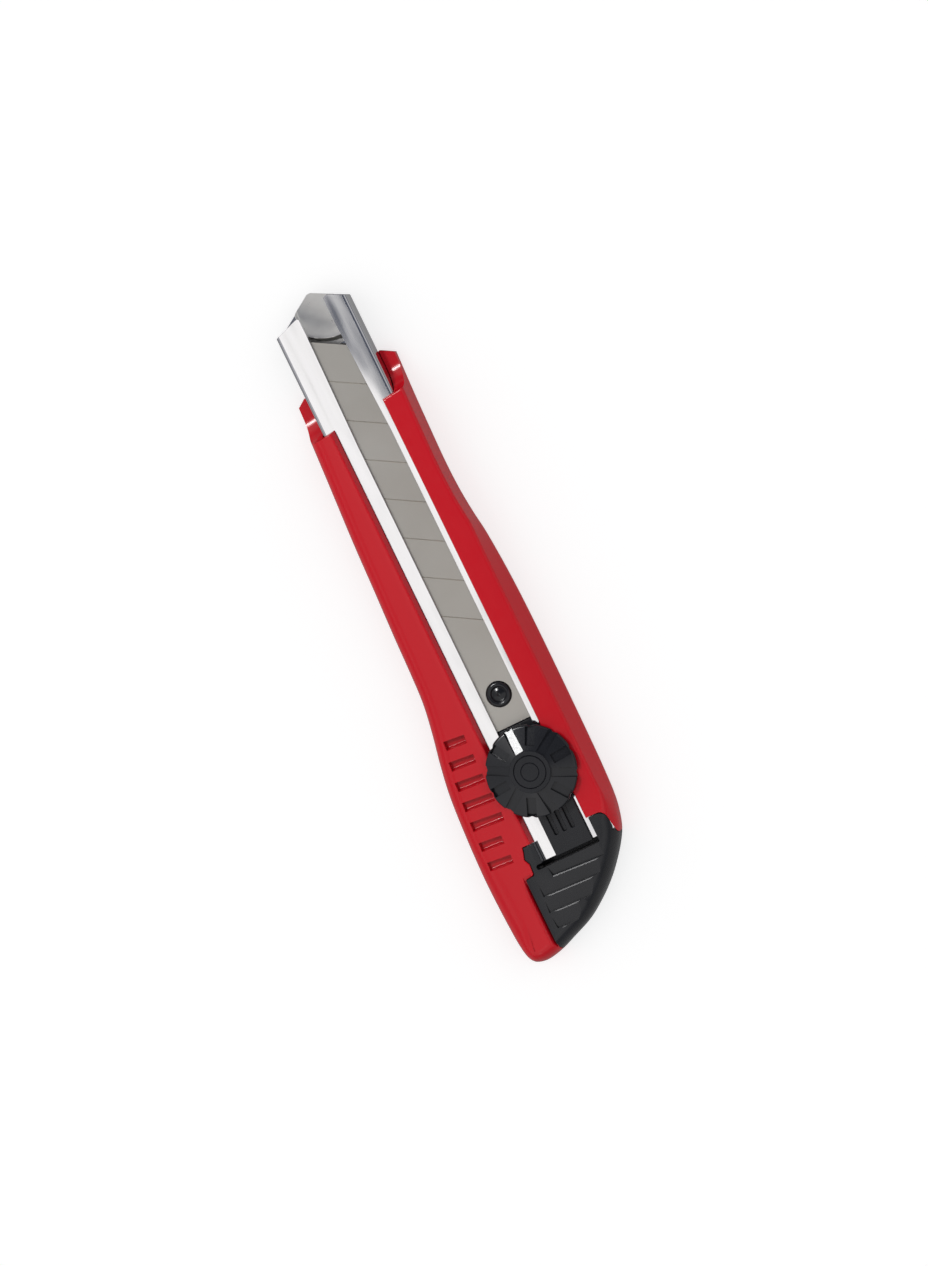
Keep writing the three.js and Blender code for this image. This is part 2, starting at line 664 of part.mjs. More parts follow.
function bladeSlider() {
  const carrier = block(
    [SLIDER_LEFT_X, SLIDER_STEP_Y - PAST, SLIDER_BOTTOM_Z],
    [SLIDER_RIGHT_X, SLIDER_FRONT_Y, SLIDER_UNDER_BLADE_Z],
  );
  const middle = block(
    [SLIDER_LEFT_X, SLIDER_REAR_Y, SLIDER_BOTTOM_Z],
    [SLIDER_RIGHT_X, SLIDER_STEP_Y, SLIDER_UNDER_LIP_Z],
  );
  const tail = block(
    [TAIL_LEFT_X, SLIDER_REAR_Y, SLIDER_BOTTOM_Z],
    [TAIL_RIGHT_X, TAIL_FRONT_Y, TAIL_TOP_Z],
  );
  const flange = block(
    [TAIL_LEFT_X, SLIDER_REAR_Y, TAIL_FLANGE_BOTTOM_Z],
    [TAIL_FLANGE_RIGHT_X, TAIL_FRONT_Y, TAIL_TOP_Z],
  );
  const boss = diskZ(BOSS_RADIUS, SLIDER_BOTTOM_Z, BOSS_TOP_Z, 0, BLADE_HOLE_Y);
  const dimpleFloor = BOSS_TOP_Z - BOSS_DIMPLE_DEPTH;
  const dimple = diskZ(BOSS_DIMPLE_RADIUS, dimpleFloor, BOSS_TOP_Z + PAST, 0, BLADE_HOLE_Y);
  let slider = carrier
    .add(middle)
    .add(tail)
    .add(flange)
    .add(boss)
    .subtract(dimple)
    .subtract(clampRecess());
  for (const x of TAIL_GROOVE_XS) {
    slider = slider.subtract(block(
      [x - TAIL_GROOVE_WIDTH / 2, TAIL_GROOVE_END_Y, TAIL_TOP_Z - TAIL_GROOVE_DEPTH],
      [x + TAIL_GROOVE_WIDTH / 2, TAIL_FRONT_Y + PAST, TAIL_TOP_Z + PAST],
    ));
  }
  return slider;
}

function squareBar(size, bottom, top) {
  return block([-size / 2, -size / 2, bottom], [size / 2, size / 2, top]);
}

function clampPlate() {
  return block(
    [PLATE_LEFT_X, -PLATE_HALF_LENGTH, PLATE_BOTTOM_Z],
    [PLATE_RIGHT_X, PLATE_HALF_LENGTH, PLATE_TOP_Z],
  ).subtract(squareBar(STUD_SQUARE + 2 * FIT_GAP, PLATE_BOTTOM_Z - PAST, PLATE_TOP_Z + PAST));
}

// Head under the plate, square neck inside it, round shank above
function clampStud() {
  const headTop = PLATE_BOTTOM_Z - FIT_GAP;
  const head = diskZ(STUD_HEAD_RADIUS, headTop - STUD_HEAD_HEIGHT, headTop);
  const neck = squareBar(STUD_SQUARE, headTop - STUD_NECK_OVERLAP, PLATE_TOP_Z + FIT_GAP);
  const shank = diskZ(STUD_RADIUS, PLATE_TOP_Z + FIT_GAP, STUD_TOP_Z);
  return head.add(neck).add(shank);
}

function thrustWasher() {
  const top = WASHER_BOTTOM_Z + WASHER_THICKNESS;
  return diskZ(WASHER_OUTER_RADIUS, WASHER_BOTTOM_Z, top)
    .subtract(diskZ(WASHER_INNER_RADIUS, WASHER_BOTTOM_Z - PAST, top + PAST));
}

// ---------------------------------------------------------------- lock wheel

// Half section of the wheel, from the axis outwards: hub below the rim, coned top
function wheelProfile() {
  const r = WHEEL_RADIUS;
  const e = RIM_EDGE_ROUND;
  return vectors([
    [0, WHEEL_SEAT_Z],
    [WHEEL_HUB_RADIUS, WHEEL_SEAT_Z],
    [WHEEL_HUB_RADIUS, RIM_BOTTOM_Z],
    [r - e, RIM_BOTTOM_Z],
    [r, RIM_BOTTOM_Z + e],
    [r, RIM_TOP_Z - e],
    [r - e, RIM_TOP_Z],
    [WHEEL_HUB_RADIUS, HUB_TOP_Z - HUB_SHOULDER_DROP],
    [WHEEL_HUB_RADIUS - HUB_SHOULDER_WIDTH, HUB_TOP_Z],
    [0, HUB_TOP_Z],
  ]);
}

// A shallow radial recess that follows the coned top
function radialRecess(fromRadius, toRadius, angle) {
  const slope = (HUB_TOP_Z - RIM_TOP_Z) / (WHEEL_RADIUS - WHEEL_HUB_RADIUS);
  const shoulder = HUB_TOP_Z - HUB_SHOULDER_DROP;
  const heightAt = (radius) => shoulder - slope * (radius - WHEEL_HUB_RADIUS);
  const side = shapeOf([
    [fromRadius, heightAt(fromRadius) - WHEEL_SLOT_DEPTH],
    [toRadius, heightAt(toRadius) - WHEEL_SLOT_DEPTH],
    [toRadius, HUB_TOP_Z + PAST],
    [fromRadius, HUB_TOP_Z + PAST],
  ]);
  const half = WHEEL_SLOT_WIDTH / 2;
  return prismX(side, -half, half, new THREE.Matrix4().makeRotationZ(angle));
}

function lockWheel() {
  const turned = new THREE.LatheGeometry(wheelProfile(), 2 * ROUND_SEGMENTS).rotateX(Math.PI / 2);
  let wheel = solidOf(turned)
    .subtract(diskZ(INSERT_RADIUS + FIT_GAP, WHEEL_SEAT_Z - PAST, INSERT_TOP_Z + FIT_GAP))
    .subtract(diskZ(STUD_RADIUS + STUD_CLEARANCE, INSERT_TOP_Z - PAST, PLUG_BOTTOM_Z))
    .subtract(diskZ(PLUG_RADIUS + FIT_GAP, PLUG_BOTTOM_Z - FIT_GAP, HUB_TOP_Z + PAST));
  for (let i = 0; i < WHEEL_SLOT_COUNT; i += 1) {
    const turn = (2 * Math.PI * i) / WHEEL_SLOT_COUNT;
    wheel = wheel
      .subtract(radialRecess(WHEEL_HUB_RADIUS, WHEEL_RADIUS + PAST, WHEEL_SLOT_TURN + turn))
      .subtract(radialRecess(WHEEL_POCKET_FROM, WHEEL_POCKET_TO, WHEEL_POCKET_TURN + turn));
  }
  for (let i = 0; i < RIM_NOTCH_COUNT; i += 1) {
    const turn = (2 * Math.PI * (i + 0.5)) / RIM_NOTCH_COUNT + WHEEL_SLOT_TURN;
    const x = -Math.sin(turn) * (WHEEL_RADIUS + RIM_NOTCH_OUTSIDE);
    const y = Math.cos(turn) * (WHEEL_RADIUS + RIM_NOTCH_OUTSIDE);
    wheel = wheel.subtract(diskZ(RIM_NOTCH_RADIUS, RIM_BOTTOM_Z - PAST, HUB_TOP_Z, x, y));
  }
  return wheel;
}

function threadedInsert() {
  return diskZ(INSERT_RADIUS, INSERT_BOTTOM_Z, INSERT_TOP_Z)
    .subtract(diskZ(INSERT_BORE_RADIUS, INSERT_BOTTOM_Z - PAST, INSERT_TOP_Z + PAST));
}

function hubPlug() {
  const half = PLUG_RING_WIDTH / 2;
  const ring = diskZ(PLUG_RING_RADIUS + half, HUB_TOP_Z - PLUG_RING_DEPTH, HUB_TOP_Z + PAST)
    .subtract(diskZ(PLUG_RING_RADIUS - half, PLUG_BOTTOM_Z - PAST, HUB_TOP_Z + 2 * PAST));
  return diskZ(PLUG_RADIUS, PLUG_BOTTOM_Z, HUB_TOP_Z).subtract(ring);
}

// ---------------------------------------------------------------- assembly

function piece(name, solid, material) {
  const mesh = new THREE.Mesh(geometryOf(solid), material);
  mesh.name = name;
  return mesh;
}

function assembly(...pieces) {
  const group = new THREE.Group();
  group.add(...pieces);
  return group;
}

const knife = assembly(
  assembly(
    piece('handle_body', handleBody(), RED),
    piece('guide_channel', guideChannel(), BRIGHT_STEEL),
  ),
  assembly(
    piece('blade_slider', bladeSlider(), BLACK),
    piece('snap_blade', snapBlade(), BLADE_STEEL),
    piece('thrust_washer', thrustWasher(), ZINC_STEEL),
  ),
  assembly(
    piece('clamp_plate', clampPlate(), ZINC_STEEL),
    piece('clamp_stud', clampStud(), ZINC_STEEL),
  ),
  assembly(
    piece('lock_wheel', lockWheel(), BLACK),
    piece('threaded_insert', threadedInsert(), BRASS),
    piece('hub_plug', hubPlug(), BLACK),
  ),
  assembly(
    piece('end_cap', endCap(), BLACK),
  ),
);

export default knife;
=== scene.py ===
"""Snap-off knife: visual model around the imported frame. Shapes are worked out in millimetres in the
frame's own axes (+Y to the blade tip, +Z out of the front face) and scaled to metres at the end."""
import math

import bmesh
import bpy
from mathutils import Matrix, Vector

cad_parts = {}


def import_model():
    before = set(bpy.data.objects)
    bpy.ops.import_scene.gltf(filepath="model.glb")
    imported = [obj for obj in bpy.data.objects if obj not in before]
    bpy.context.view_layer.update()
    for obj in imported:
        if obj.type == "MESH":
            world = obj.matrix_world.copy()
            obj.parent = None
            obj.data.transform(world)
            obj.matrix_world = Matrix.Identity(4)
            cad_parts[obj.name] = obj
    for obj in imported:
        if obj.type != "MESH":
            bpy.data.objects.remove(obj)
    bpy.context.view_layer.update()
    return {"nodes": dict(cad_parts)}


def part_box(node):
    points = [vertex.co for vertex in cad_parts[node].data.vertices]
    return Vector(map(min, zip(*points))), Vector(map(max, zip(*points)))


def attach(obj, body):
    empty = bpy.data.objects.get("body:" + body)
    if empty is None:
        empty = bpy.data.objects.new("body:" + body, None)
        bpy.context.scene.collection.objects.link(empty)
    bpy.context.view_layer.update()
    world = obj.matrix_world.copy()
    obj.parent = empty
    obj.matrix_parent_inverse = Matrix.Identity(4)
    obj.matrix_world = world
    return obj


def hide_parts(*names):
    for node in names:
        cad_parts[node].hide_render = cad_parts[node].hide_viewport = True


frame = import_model()

MM = 0.001
QUARTER = math.pi / 2


def node_box(name):
    """Lowest and highest corner of a CAD node, in millimetres."""
    low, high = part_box(name)
    return low / MM, high / MM


HANDLE_HIGH = node_box("handle_body")[1]
CHANNEL_LOW, CHANNEL_HIGH = node_box("guide_channel")
BLADE_LOW, BLADE_HIGH = node_box("snap_blade")
SLIDER_LOW, SLIDER_HIGH = node_box("blade_slider")
WHEEL_LOW, WHEEL_HIGH = node_box("lock_wheel")

FACE_Z = HANDLE_HIGH.z          # the handle's front face
LIP_Z = CHANNEL_HIGH.z          # top of the steel lips
FLOOR_Z = CHANNEL_LOW.z         # back of the steel channel
SHEET = 0.55                    # thickness of the channel's steel


# ------------------------------------------------------------------ small geometry tools

def smoothstep(low, high, value):
    t = min(max((value - low) / (high - low), 0.0), 1.0)
    return t * t * (3 - 2 * t)


def mix(a, b, t):
    return a + (b - a) * t


def spline(points, steps):
    """Catmull-Rom curve through the points, without the last one."""
    out = []
    last = len(points) - 1
    for i in range(last):
        p0, p1 = Vector(points[max(i - 1, 0)]), Vector(points[i])
        p2, p3 = Vector(points[i + 1]), Vector(points[min(i + 2, last)])
        for k in range(steps):
            t = k / steps
            a = 2 * p1 + (p2 - p0) * t
            b = (2 * p0 - 5 * p1 + 4 * p2 - p3) * t * t
            c = (3 * p1 - p0 - 3 * p2 + p3) * t ** 3
            out.append((a + b + c) / 2)
    return out


def corner_normals(points):
    """Outward mitre vectors of a counterclockwise ring of plan points."""
    normals = []
    count = len(points)
    for i in range(count):
        before = (points[i] - points[i - 1]).normalized()
        after = (points[(i + 1) % count] - points[i]).normalized()
        n1 = Vector((before.y, -before.x))
        n2 = Vector((after.y, -after.x))
        normals.append((n1 + n2) / max(1 + n1.dot(n2), 0.3))
    return normals


def rounded(points, radius, steps=5):
    """A ring of plan points with its corners turned into arcs; radius is one number or one per corner."""
    out = []
    count = len(points)
    radii = radius if isinstance(radius, (list, tuple)) else [radius] * count
    for i in range(count):
        p = Vector(points[i])
        r = radii[i]
        if r <= 0:
            out.append(p)
            continue
        back = (Vector(points[i - 1]) - p).normalized()
        ahead = (Vector(points[(i + 1) % count]) - p).normalized()
        half = back.angle(ahead) / 2
        centre = p + (back + ahead).normalized() * (r / math.sin(half))
        start = p + back * (r / math.tan(half)) - centre
        sweep = start.angle_signed(p + ahead * (r / math.tan(half)) - centre)
        for k in range(steps + 1):
            out.append(centre + Matrix.Rotation(-sweep * k / steps, 2) @ start)
    return out


def divided(points, longest):
    """The same ring with long edges split, so that it can follow the crease in the face."""
    out = []
    for i, p in enumerate(points):
        q = Vector(points[(i + 1) % len(points)])
        p = Vector(p)
        count = max(1, math.ceil((q - p).length / longest))
        out += [p.lerp(q, k / count) for k in range(count)]
    return out


def as_object(name, bm):
    bmesh.ops.remove_doubles(bm, verts=bm.verts, dist=1e-5)
    bmesh.ops.recalc_face_normals(bm, faces=bm.faces)
    mesh = bpy.data.meshes.new(name)
    bm.to_mesh(mesh)
    bm.free()
    obj = bpy.data.objects.new(name, mesh)
    bpy.context.scene.collection.objects.link(obj)
    return obj


def loft(name, rings):
    """Closed body through rings of equal length, ends filled."""
    bm = bmesh.new()
    rows = [[bm.verts.new(p) for p in ring] for ring in rings]
    count = len(rows[0])
    for a, b in zip(rows, rows[1:]):
        for i in range(count):
            j = (i + 1) % count
            bm.faces.new((a[i], a[j], b[j], b[i]))
    bm.faces.new(rows[0][::-1])
    bm.faces.new(rows[-1])
    return as_object(name, bm)


def prism_z(name, points, low, high):
    return loft(name, [[(p[0], p[1], z) for p in points] for z in (low, high)])


def prism_y(name, points, rear, front):
    """A section (x, z) run along the knife."""
    return loft(name, [[(p[0], y, p[1]) for p in points] for y in (rear, front)])


def prism_x(name, points, left, right):
    """A side view (y, z) run across the knife."""
    return loft(name, [[(x, p[0], p[1]) for p in points] for x in (left, right)])


def box(name, low, high):
    (x0, y0, z0), (x1, y1, z1) = low, high
    return prism_z(name, [(x0, y0), (x1, y0), (x1, y1), (x0, y1)], z0, z1)


def lathe(name, profile, steps, centre=(0.0, 0.0), ring=False):
    """A profile of (radius, z) turned about a vertical axis: from axis to axis, or a closed ring."""
    bm = bmesh.new()
    rows = []
    for r, z in profile:
        count = steps if r > 1e-6 else 1
        angles = [2 * math.pi * k / steps for k in range(count)]
        rows.append([
            bm.verts.new((centre[0] + r * math.cos(a), centre[1] + r * math.sin(a), z)) for a in angles
        ])
    following = rows[1:] + rows[:1] if ring else rows[1:]
    for a, b in zip(rows, following):
        for k in range(steps):
            m = (k + 1) % steps
            corners = [a[k % len(a)], a[m % len(a)], b[m % len(b)], b[k % len(b)]]
            unique = list(dict.fromkeys(corners))
            if len(unique) > 2:
                bm.faces.new(unique)
    return as_object(name, bm)


def combine(obj, tool, operation="DIFFERENCE"):
    """Cuts or joins obj with tool, which is used up."""
    step = obj.modifiers.new("combine", "BOOLEAN")
    step.operation = operation
    step.solver = "EXACT"
    step.object = tool
    graph = bpy.context.evaluated_depsgraph_get()
    result = bpy.data.meshes.new_from_object(obj.evaluated_get(graph))
    obj.modifiers.clear()
    old = obj.data
    obj.data = result
    bpy.data.meshes.remove(old)
    bpy.data.objects.remove(tool)
    return obj


def cut(obj, *tools):
    for tool in tools:
        combine(obj, tool)
    return obj


def join(obj, *tools):
    for tool in tools:
        combine(obj, tool, "UNION")
    return obj


def flatten(obj):
    """Merges near-coincident vertices and removes the degenerate slivers that booleans leave."""
    bm = bmesh.new()
    bm.from_mesh(obj.data)
    bmesh.ops.remove_doubles(bm, verts=bm.verts, dist=0.002)
    bmesh.ops.dissolve_degenerate(bm, dist=0.002, edges=bm.edges)
    bm.to_mesh(obj.data)
    bm.free()


def bevel(obj, width, segments=3, angle=35.0):
    step = obj.modifiers.new("edges", "BEVEL")
    step.width = width
    step.segments = segments
    step.limit_method = "ANGLE"
    step.angle_limit = math.radians(angle)
    step.harden_normals = False
    step.use_clamp_overlap = True
    return obj


def finish_piece(obj, body, node, material, crease=32.0):
    """Scales a piece to metres, shades it and hands it to the frame. node may be None."""
    for step in list(obj.modifiers):
        if step.type == "BEVEL":
            step.width *= MM
    obj.data.transform(((MM, 0, 0, 0), (0, MM, 0, 0), (0, 0, MM, 0), (0, 0, 0, 1)))
    for face in obj.data.polygons:
        face.use_smooth = True
    obj.data.set_sharp_from_angle(angle=math.radians(crease))
    step = obj.modifiers.new("normals", "WEIGHTED_NORMAL")
    step.keep_sharp = True
    step.weight = 60
    obj.data.materials.clear()
    obj.data.materials.append(material)
    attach(obj, body)
    if node:
        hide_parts(node)
    return obj


# ------------------------------------------------------------------ materials

def srgb(r, g, b):
    """A colour given in 0-255 display values, as linear light."""
    linear = []
    for value in (r, g, b):
        c = value / 255
        linear.append(c / 12.92 if c <= 0.04045 else ((c + 0.055) / 1.055) ** 2.4)
    return (*linear, 1.0)


class Nodes:
    """Short hand for building a material's node tree."""

    def __init__(self, name):
        self.material = bpy.data.materials.new(name)
        self.material.use_nodes = True
        self.tree = self.material.node_tree
        self.shader = self.tree.nodes["Principled BSDF"]
        self.place = self.tree.nodes.new("ShaderNodeTexCoord").outputs["Object"]

    def node(self, kind, **values):
        made = self.tree.nodes.new(kind)
        for key, value in values.items():
            if key in made.inputs:
                made.inputs[key].default_value = value
            else:
                setattr(made, key, value)
        return made

    def link(self, source, target):
        self.tree.links.new(source, target)

    def stretched(self, scale):
        mapping = self.node("ShaderNodeMapping")
        mapping.inputs["Scale"].default_value = scale
        self.link(self.place, mapping.inputs["Vector"])
        return mapping.outputs["Vector"]

    def noise(self, scale, detail=3.0, roughness=0.5, stretch=(1, 1, 1)):
        noise = self.node("ShaderNodeTexNoise", Scale=scale, Detail=detail, Roughness=roughness)
        self.link(self.stretched(stretch), noise.inputs["Vector"])
        return noise.outputs["Fac"]

    def ranged(self, value, low, high, out_low, out_high):
        remap = self.node("ShaderNodeMapRange")
        remap.inputs["From Min"].default_value = low
        remap.inputs["From Max"].default_value = high
        remap.inputs["To Min"].default_value = out_low
        remap.inputs["To Max"].default_value = out_high
        self.link(value, remap.inputs["Value"])
        return remap.outputs["Result"]

    def blend_colour(self, factor, a, b):
        blend = self.node("ShaderNodeMix", data_type="RGBA")
        self.link(factor, blend.inputs[0])
        blend.inputs[6].default_value = a
        blend.inputs[7].default_value = b
        return blend.outputs[2]

    def bump(self, height, strength, distance):
        bump = self.node("ShaderNodeBump", Strength=strength, Distance=distance)
        self.link(height, bump.inputs["Height"])
        self.link(bump.outputs["Normal"], self.shader.inputs["Normal"])
        return bump


def red_plastic():
    """Glossy moulded ABS: very faint flow marks in the colour, a trace of orange peel and polish haze."""
    m = Nodes("red_gloss_plastic")
    flow = m.noise(30, 3, 0.5, stretch=(1, 0.4, 1))
    colour = m.blend_colour(m.ranged(flow, 0.3, 0.7, 0, 1), srgb(186, 12, 27), srgb(190, 15, 30))
    m.link(colour, m.shader.inputs["Base Color"])
    haze = m.noise(500, 4, 0.6)
    m.link(m.ranged(haze, 0.3, 0.75, 0.15, 0.19), m.shader.inputs["Roughness"])
    m.shader.inputs["Specular IOR Level"].default_value = 0.4
    m.bump(m.noise(900, 2, 0.5), 0.25, 0.000004)
    return m.material


def black_plastic(name, shade, low_roughness, high_roughness):
    """Moulded black nylon with a fine spark-eroded grain."""
    m = Nodes(name)
    tone = m.noise(160, 4, 0.6)
    dark, pale = srgb(shade - 2, shade - 1, shade + 3), srgb(shade + 3, shade + 4, shade + 8)
    colour = m.blend_colour(m.ranged(tone, 0.3, 0.7, 0, 1), dark, pale)
    m.link(colour, m.shader.inputs["Base Color"])
    grain = m.noise(2600, 3, 0.65)
    rough = m.ranged(grain, 0.3, 0.75, low_roughness, high_roughness)
    m.link(rough, m.shader.inputs["Roughness"])
    m.bump(grain, 0.3, 0.000002)
    return m.material


def channel_steel():
    """Bright rolled sheet: long faint rolling lines and a slight waviness in the reflections."""
    m = Nodes("bright_channel_steel")
    lines = m.noise(700, 4, 0.6, stretch=(1, 0.03, 1))
    colour = m.blend_colour(m.ranged(lines, 0.3, 0.7, 0, 1), srgb(226, 226, 229), srgb(238, 238, 239))
    m.link(colour, m.shader.inputs["Base Color"])
    m.shader.inputs["Metallic"].default_value = 1.0
    m.link(m.ranged(lines, 0.3, 0.8, 0.08, 0.15), m.shader.inputs["Roughness"])
    m.bump(m.noise(150, 1, 0.4, stretch=(1, 0.4, 1)), 1.0, 0.00007)
    return m.material


def pressed_steel():
    """The drawn part of the sheet, dulled by the press tool."""
    m = Nodes("pressed_channel_steel")
    cloud = m.noise(260, 4, 0.6)
    colour = m.blend_colour(m.ranged(cloud, 0.3, 0.7, 0, 1), srgb(236, 234, 230), srgb(248, 247, 243))
    m.link(colour, m.shader.inputs["Base Color"])
    m.shader.inputs["Metallic"].default_value = 0.8
    m.link(m.ranged(cloud, 0.3, 0.7, 0.26, 0.34), m.shader.inputs["Roughness"])
    m.bump(m.noise(240, 2, 0.5), 1.0, 0.00004)
    return m.material


def blade_steel():
    """Ground blade strip: fine grinding lines across it and a warm oily tint."""
    m = Nodes("ground_blade_steel")
    lines = m.noise(1800, 3, 0.6, stretch=(0.05, 1, 1))
    warm = m.noise(60, 3, 0.5)
    colour = m.blend_colour(m.ranged(warm, 0.3, 0.7, 0, 1), srgb(216, 211, 201), srgb(225, 221, 212))
    m.link(colour, m.shader.inputs["Base Color"])
    m.shader.inputs["Metallic"].default_value = 0.84
    m.link(m.ranged(lines, 0.3, 0.75, 0.32, 0.42), m.shader.inputs["Roughness"])
    m.bump(lines, 0.2, 0.000003)
    return m.material


def plated_steel():
    m = Nodes("zinc_plated_steel")
    cloud = m.noise(300, 4, 0.6)
    colour = m.blend_colour(m.ranged(cloud, 0.3, 0.7, 0, 1), srgb(170, 172, 176), srgb(198, 200, 202))
    m.link(colour, m.shader.inputs["Base Color"])
    m.shader.inputs["Metallic"].default_value = 1.0
    m.link(m.ranged(cloud, 0.3, 0.7, 0.28, 0.42), m.shader.inputs["Roughness"])
    return m.material


def turned_brass():
    m = Nodes("turned_brass")
    lines = m.noise(1500, 2, 0.5, stretch=(1, 1, 4))
    colour = m.blend_colour(m.ranged(lines, 0.3, 0.7, 0, 1), srgb(190, 152, 84), srgb(214, 178, 106))
    m.link(colour, m.shader.inputs["Base Color"])
    m.shader.inputs["Metallic"].default_value = 1.0
    m.link(m.ranged(lines, 0.3, 0.7, 0.22, 0.36), m.shader.inputs["Roughness"])
    return m.material


# ------------------------------------------------------------------ handle and cap: common outer form

LEFT_SIDE = [
    (-14.1, 98.5), (-14.4, 92.5), (-15.1, 80), (-16.0, 65), (-16.5, 53), (-17.05, 41), (-17.35, 32),
    (-17.8, 24.5), (-19.0, 17.3), (-20.6, 9.8), (-21.8, 2.4), (-22.5, -6.5), (-23.0, -18),
    (-22.85, -28), (-22.3, -36.0), (-21.0, -40.1),
]
TAIL = [(-18.2, -41.3), (-14.4, -40.75), (-10.3, -39.2), (-4.7, -36.85), (0.2, -33.55), (3.9, -30.4)]
RIGHT_SIDE = [
    (6.7, -27.4), (9.1, -24.4), (11.05, -21.3), (12.2, -18), (13.0, -14), (13.4, -8), (13.65, 3),
    (13.8, 26), (13.6, 41), (12.9, 53), (12.15, 59), (11.6, 65), (11.4, 72), (11.55, 80), (11.85, 90),
    (12.3, 100.2),
]
LEFT_EAR_TIP = (-12.0, 99.9)
RIGHT_EAR_TIP = (9.2, 102.0)
FACE_CREASE_X = -9.0            # left of this line the face falls away slightly to the outside
FACE_FALL = 0.06
ROUND_LEVELS = 10
BACK_ROUND = 1.1


def face_z(x, y):
    """Height of the front face: flat on the right, falling gently to the left."""
    return FACE_Z - FACE_FALL * max(FACE_CREASE_X - x, 0.0)


def side_section(point):
    """(inset, drop) pairs from the face's edge down to the widest line, for one outline point."""
    x, y = point
    left_width = mix(3.9, 5.4, smoothstep(-8, -24, y))
    if x > 0:
        flare = max(x - 12.3, 0.05)
        tail = smoothstep(-8, -19, y)
        round_width, round_height = mix(1.0, 3.6, tail), 5.6
    else:
        flare, tail = 0.0, 1.0
        corner = smoothstep(-31, -38, y)
        round_width = mix(left_width, 3.2, corner)
        round_height = 5.0
    if y > 99:
        round_width = 1.0
    top_radius = 0.8
    pairs = []
    for k in range(ROUND_LEVELS + 1):
        a = QUARTER * k / ROUND_LEVELS
        ellipse = (round_width * (1 - math.sin(a)), round_height * (1 - math.cos(a)))
        half = ROUND_LEVELS // 2
        if k <= half:
            b = QUARTER * k / half
            drafted = (flare + top_radius * (1 - math.sin(b)), top_radius * (1 - math.cos(b)))
        else:
            t = (k - half) / (ROUND_LEVELS - half)
            drafted = (flare * (1 - t), mix(top_radius, FACE_Z - 1.8, t))
        pairs.append((mix(drafted[0], ellipse[0], tail), mix(drafted[1], ellipse[1], tail)))
    return pairs


def outline_points():
    """Counterclockwise outline of handle and cap together, starting at the left ear."""
    nose = [Vector(RIGHT_EAR_TIP), Vector((FACE_CREASE_X, mix(99.6, 102.0, 0.1))), Vector(LEFT_EAR_TIP)]
    sides = spline(LEFT_SIDE + TAIL + RIGHT_SIDE, 5) + [Vector(RIGHT_SIDE[-1])]
    return nose + sides


def outer_form(name):
    points = outline_points()
    normals = corner_normals(points)
    sections = [side_section(p) for p in points]
    nose_count = 3
    for i in range(nose_count):
        sections[i] = [(0.0, drop) for _, drop in sections[i]]
    normals[nose_count] = Vector((-1.0, 0.0))
    normals[-1] = Vector((1.0, 0.0))
    rings = []
    for k in range(ROUND_LEVELS + 1):
        ring = []
        for p, n, section in zip(points, normals, sections):
            inset, drop = section[k]
            q = p - n * inset
            top = face_z(*(p - n * section[0][0]))
            ring.append((q.x, q.y, max(top - drop, 1.5)))
        rings.append(ring)
    steps = 5
    for k in range(steps + 1):
        a = QUARTER * k / steps
        inset = BACK_ROUND * (1 - math.cos(a))
        z = BACK_ROUND * (1 - math.sin(a))
        rings.append([((p - n * inset).x, (p - n * inset).y, z) for p, n in zip(points, normals)])
    bm = bmesh.new()
    rows = [[bm.verts.new(p) for p in ring] for ring in rings]
    count = len(points)
    for a, b in zip(rows, rows[1:]):
        for i in range(count):
            j = (i + 1) % count
            bm.faces.new((a[i], b[i], b[j], a[j]))
    bm.faces.new(rows[-1])
    top = rows[0]
    tail_index = min(
        (i for i in range(count) if points[i].y < -30 and points[i].x < 0),
        key=lambda i: abs(top[i].co.x - FACE_CREASE_X),
    )
    top[tail_index].co.x = FACE_CREASE_X
    top[tail_index].co.z = FACE_Z
    bm.faces.new(top[1:tail_index + 1])
    bm.faces.new(top[tail_index:] + top[:2])
    return as_object(name, bm)


def flared_tool(name, points, low, flare, draft=0.0, draft_from=0.0):
    """A cutter whose walls open into a fillet where they meet the front face."""
    points = divided(points, 1.5)
    normals = corner_normals(points)

    def ring(offset, height):
        out = []
        for p, n in zip(points, normals):
            q = p + n * offset
            out.append((q.x, q.y, height(q.x, q.y)))
        return out

    steps = 5
    wall = draft * (FACE_Z - flare - draft_from)
    rings = [ring(draft * (low - draft_from), lambda x, y: low)]
    for k in range(steps + 1):
        a = QUARTER * k / steps
        rise = flare * math.sin(a)
        rings.append(ring(
            wall + flare * (1 - math.cos(a)),
            lambda x, y, rise=rise: face_z(x, y) - flare + rise + 1e-4 * (rise > 0.99 * flare),
        ))
    rings.append(ring(wall + flare, lambda x, y: FACE_Z + 2))
    return loft(name, rings)


# ------------------------------------------------------------------ handle

SLOT_LEFT_X, SLOT_RIGHT_X = -7.64, 5.9
SLOT_DRAFT = 0.28
TUNNEL_PLAY = 0.15              # air around the channel, inside the shell
HORN_EDGE_X = -13.34            # where the red horn meets the cap
RAIL_FRONT_Y = 90.5
EAR_Z = 2.8
EAR_SWEEP = 6.2
NOSE_SLANT = 0.105             # the rails end on a line slanted across the knife
CAP_SEAM = [                    # clockwise, with the radius of each corner
    (-13.1, -45, 0), (-13.1, -22.2, 0.5), (-10.65, -21.9, 0.6), (-10.45, -19.2, 0.5), (-11.15, -17.9, 0.4),
    (-10.45, -15.9, 0.6), (-10.35, -15.1, 0.25), (10.9, -15.1, 1.7), (11.0, -21.95, 0.9), (30, -21.5, 0),
    (30, -45, 0),
]
POCKET_RIGHT_ENDS = [-11.05] * 5 + [-13.55] * 2
POCKET_FIRST_UPPER, POCKET_PITCH = 14.15, 4.92      # upper edge at the right end
POCKET_HEIGHT = 2.12
